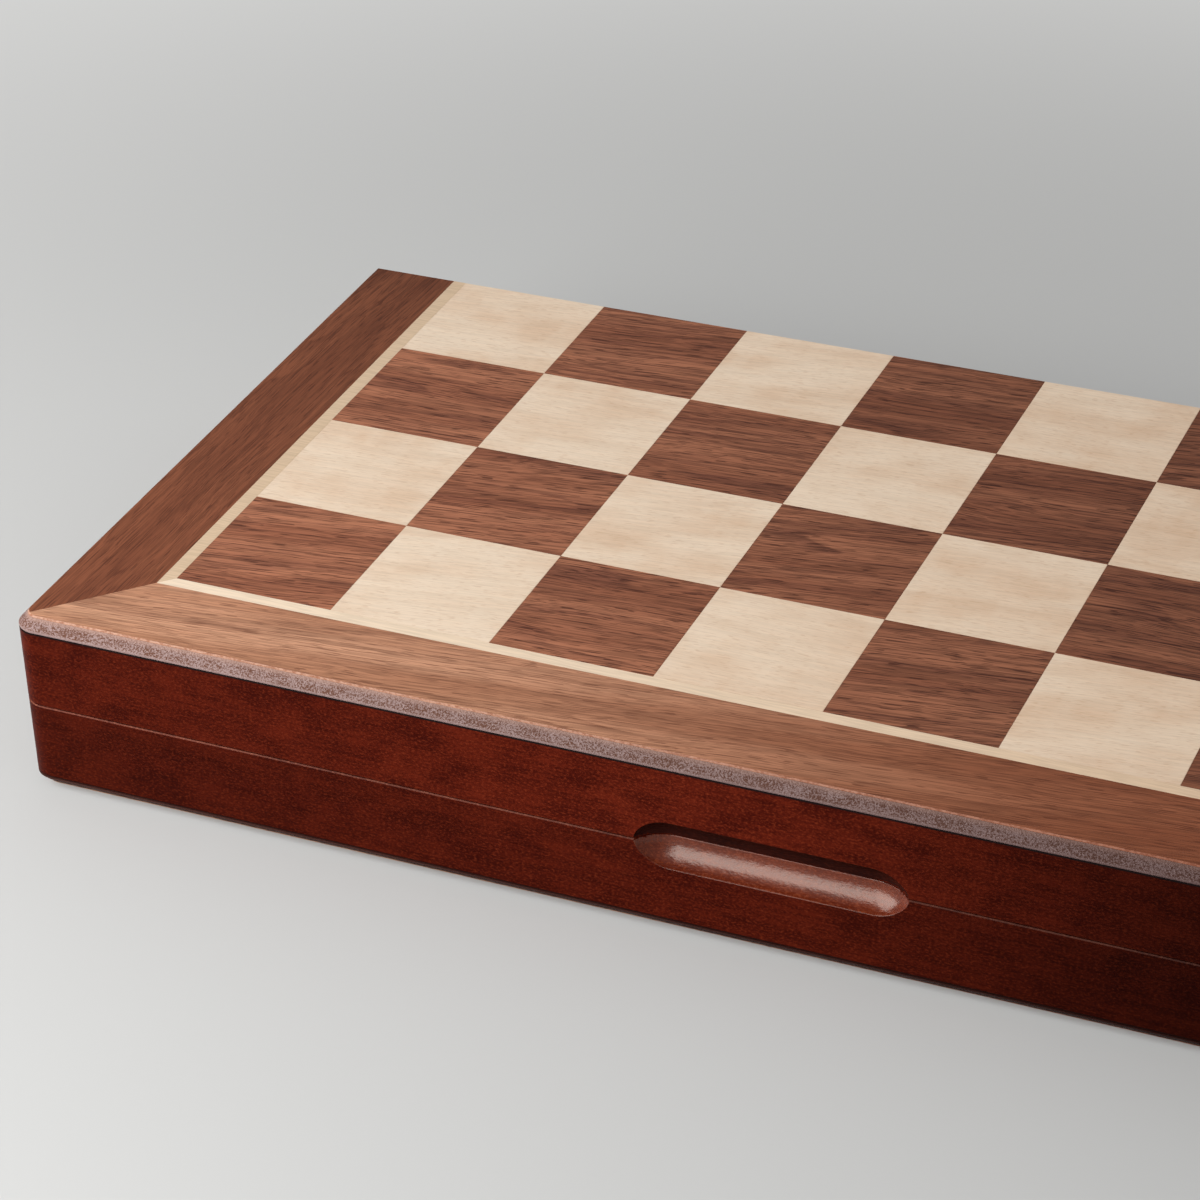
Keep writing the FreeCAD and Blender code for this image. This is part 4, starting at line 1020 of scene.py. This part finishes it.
def add_felts(felt):
    """Round felts under the feet."""
    for army in ARMIES:
        node = f"{army}_base_felts"
        discs = felt_discs(node)
        work = bmesh.new()
        for disc in discs:
            add_disc(work, *disc)
        felts = new_piece(f"{army}_felts", finished_mesh(work, node), node, felt)


# Colours of the pile, deep and raised, and the size of its fibres in millimetres
FLOCK = ((0.018, 0.062, 0.034), (0.05, 0.145, 0.085), 0.5)
FELT = ((0.02, 0.07, 0.04), (0.06, 0.16, 0.095), 0.7)


def add_soft_pieces():
    flock = pile("green_flock", *FLOCK)
    felt = pile("green_felt", *FELT)
    add_tray(flock)
    add_lining(flock)
    add_felts(felt)


# The sharpest corner that is shaded as a curve, in degrees
CREASE = 30


def smooth_shading():
    """Curved faces shade as curves, and every corner sharper than the crease stays crisp."""
    for node in nodes.values():
        node.data.shade_smooth()
        node.data.set_sharp_from_angle(angle=math.radians(CREASE))


# The camera: sensor and lens in millimetres, place from the board's corner, and angles in degrees
SENSOR_WIDTH = 36
LENS = 112.952
CAMERA_OFFSET = Vector((0.399827, -0.638891, 0.455879))
CAMERA_BEARING = 24.5585
CAMERA_DOWN = 31.9508
CAMERA_ROLL = -2.2883


def add_camera():
    """The photograph's own camera, fitted to the corners of the squares."""
    data = bpy.data.cameras.new("camera")
    data.sensor_width = SENSOR_WIDTH
    data.lens = LENS
    camera = bpy.data.objects.new("camera", data)
    bearing = Matrix.Rotation(math.radians(CAMERA_BEARING), 4, "Z")
    tilt = Matrix.Rotation(math.radians(90 - CAMERA_DOWN), 4, "X")
    roll = Matrix.Rotation(math.radians(CAMERA_ROLL), 4, "Z")
    camera.matrix_world = Matrix.Translation(BOARD_CORNER + CAMERA_OFFSET) @ bearing @ tilt @ roll
    bpy.context.scene.collection.objects.link(camera)
    bpy.context.scene.camera = camera


# The lamps: name, place, what it points at, width, height, and power in watts
LAMPS = (
    ("key", (-0.50, -0.59, 0.42), (0, -0.02, 0.03), 1.0, 0.68, 12.2),
    ("fill", (0.50, 0.80, 0.22), (0, 0, 0.02), 1.2, 0.35, 3.2),
)
# The surroundings: colours at the horizon and overhead, and how high the second one is reached
HORIZON = (0.26, 0.26, 0.258)
OVERHEAD = (0.34, 0.34, 0.342)
SKY_RISE = 0.6


def add_lamp(name, place, aim, width, height, power):
    data = bpy.data.lights.new(name, "AREA")
    data.shape = "RECTANGLE"
    data.size = width
    data.size_y = height
    data.energy = power
    lamp = bpy.data.objects.new(name, data)
    lamp.location = place
    lamp.visible_camera = False
    lamp.rotation_euler = (Vector(aim) - Vector(place)).to_track_quat("-Z", "Y").to_euler()
    bpy.context.scene.collection.objects.link(lamp)


def add_world():
    """Soft grey surroundings, a little brighter overhead."""
    world = bpy.data.worlds.new("studio")
    bpy.context.scene.world = world
    graph = Graph(world)
    _, _, rise = graph.parts(graph.add("TexCoord").outputs["Generated"])
    sky = graph.mix(graph.ease(rise, 0.0, SKY_RISE), HORIZON, OVERHEAD)
    graph.put(sky, graph.tree.nodes["Background"].inputs["Color"])


# The floor: its colour to the eye, its colour to the light, its far glow and where that starts and ends
FLOOR_SEEN = (0.56, 0.56, 0.55)
FLOOR_BOUNCE = (0.14, 0.14, 0.138)
FLOOR_GLOW = (0.68, 0.68, 0.67)
GLOW_START = 0.24
GLOW_END = 0.64
FLOOR_REACH = 9
FLOOR_DROP = 0.05 * MM


def floor_material():
    """Pale floor that keeps the shadow near the object and melts into the surroundings far off."""
    graph = material_graph("floor")
    path = graph.add("LightPath").outputs
    seen = graph.calc("ADD", path["Is Camera Ray"], path["Is Glossy Ray"])
    seen = graph.calc("MINIMUM", graph.calc("ADD", seen, path["Is Transmission Ray"]), 1.0)
    colour = graph.mix(seen, FLOOR_BOUNCE, FLOOR_SEEN)
    graph.shade({"Base Color": colour, "Roughness": 0.9, "Specular IOR Level": 0.1})
    distance = graph.add("VectorMath")
    distance.operation = "LENGTH"
    graph.put(graph.place(), distance.inputs[0])
    far = graph.ease(distance.outputs["Value"], GLOW_START, GLOW_END)
    glow = graph.add("Emission")
    graph.put(FLOOR_GLOW, glow.inputs["Color"])
    blend = graph.add("MixShader")
    graph.put(graph.calc("MULTIPLY", far, seen), blend.inputs[0])
    graph.put(graph.surface.outputs[0], blend.inputs[1])
    graph.put(glow.outputs[0], blend.inputs[2])
    graph.put(blend.outputs[0], graph.tree.nodes["Material Output"].inputs["Surface"])
    return graph.owner


def add_floor():
    mesh = bpy.data.meshes.new("floor")
    corners = [(x * FLOOR_REACH, y * FLOOR_REACH, 0) for x, y in ((-1, -1), (1, -1), (1, 1), (-1, 1))]
    mesh.from_pydata(corners, [], [(0, 1, 2, 3)])
    mesh.materials.append(floor_material())
    floor = bpy.data.objects.new("floor", mesh)
    floor.location.z = cad_box[0].z - FLOOR_DROP
    bpy.context.scene.collection.objects.link(floor)


def light_scene():
    bpy.context.scene.view_settings.view_transform = "Standard"
    add_world()
    for lamp in LAMPS:
        add_lamp(*lamp)


smooth_shading()
dress_panels()
dress_walls()
dress_fittings()
add_knights(dress_pieces())
add_soft_pieces()
add_floor()
light_scene()
add_camera()
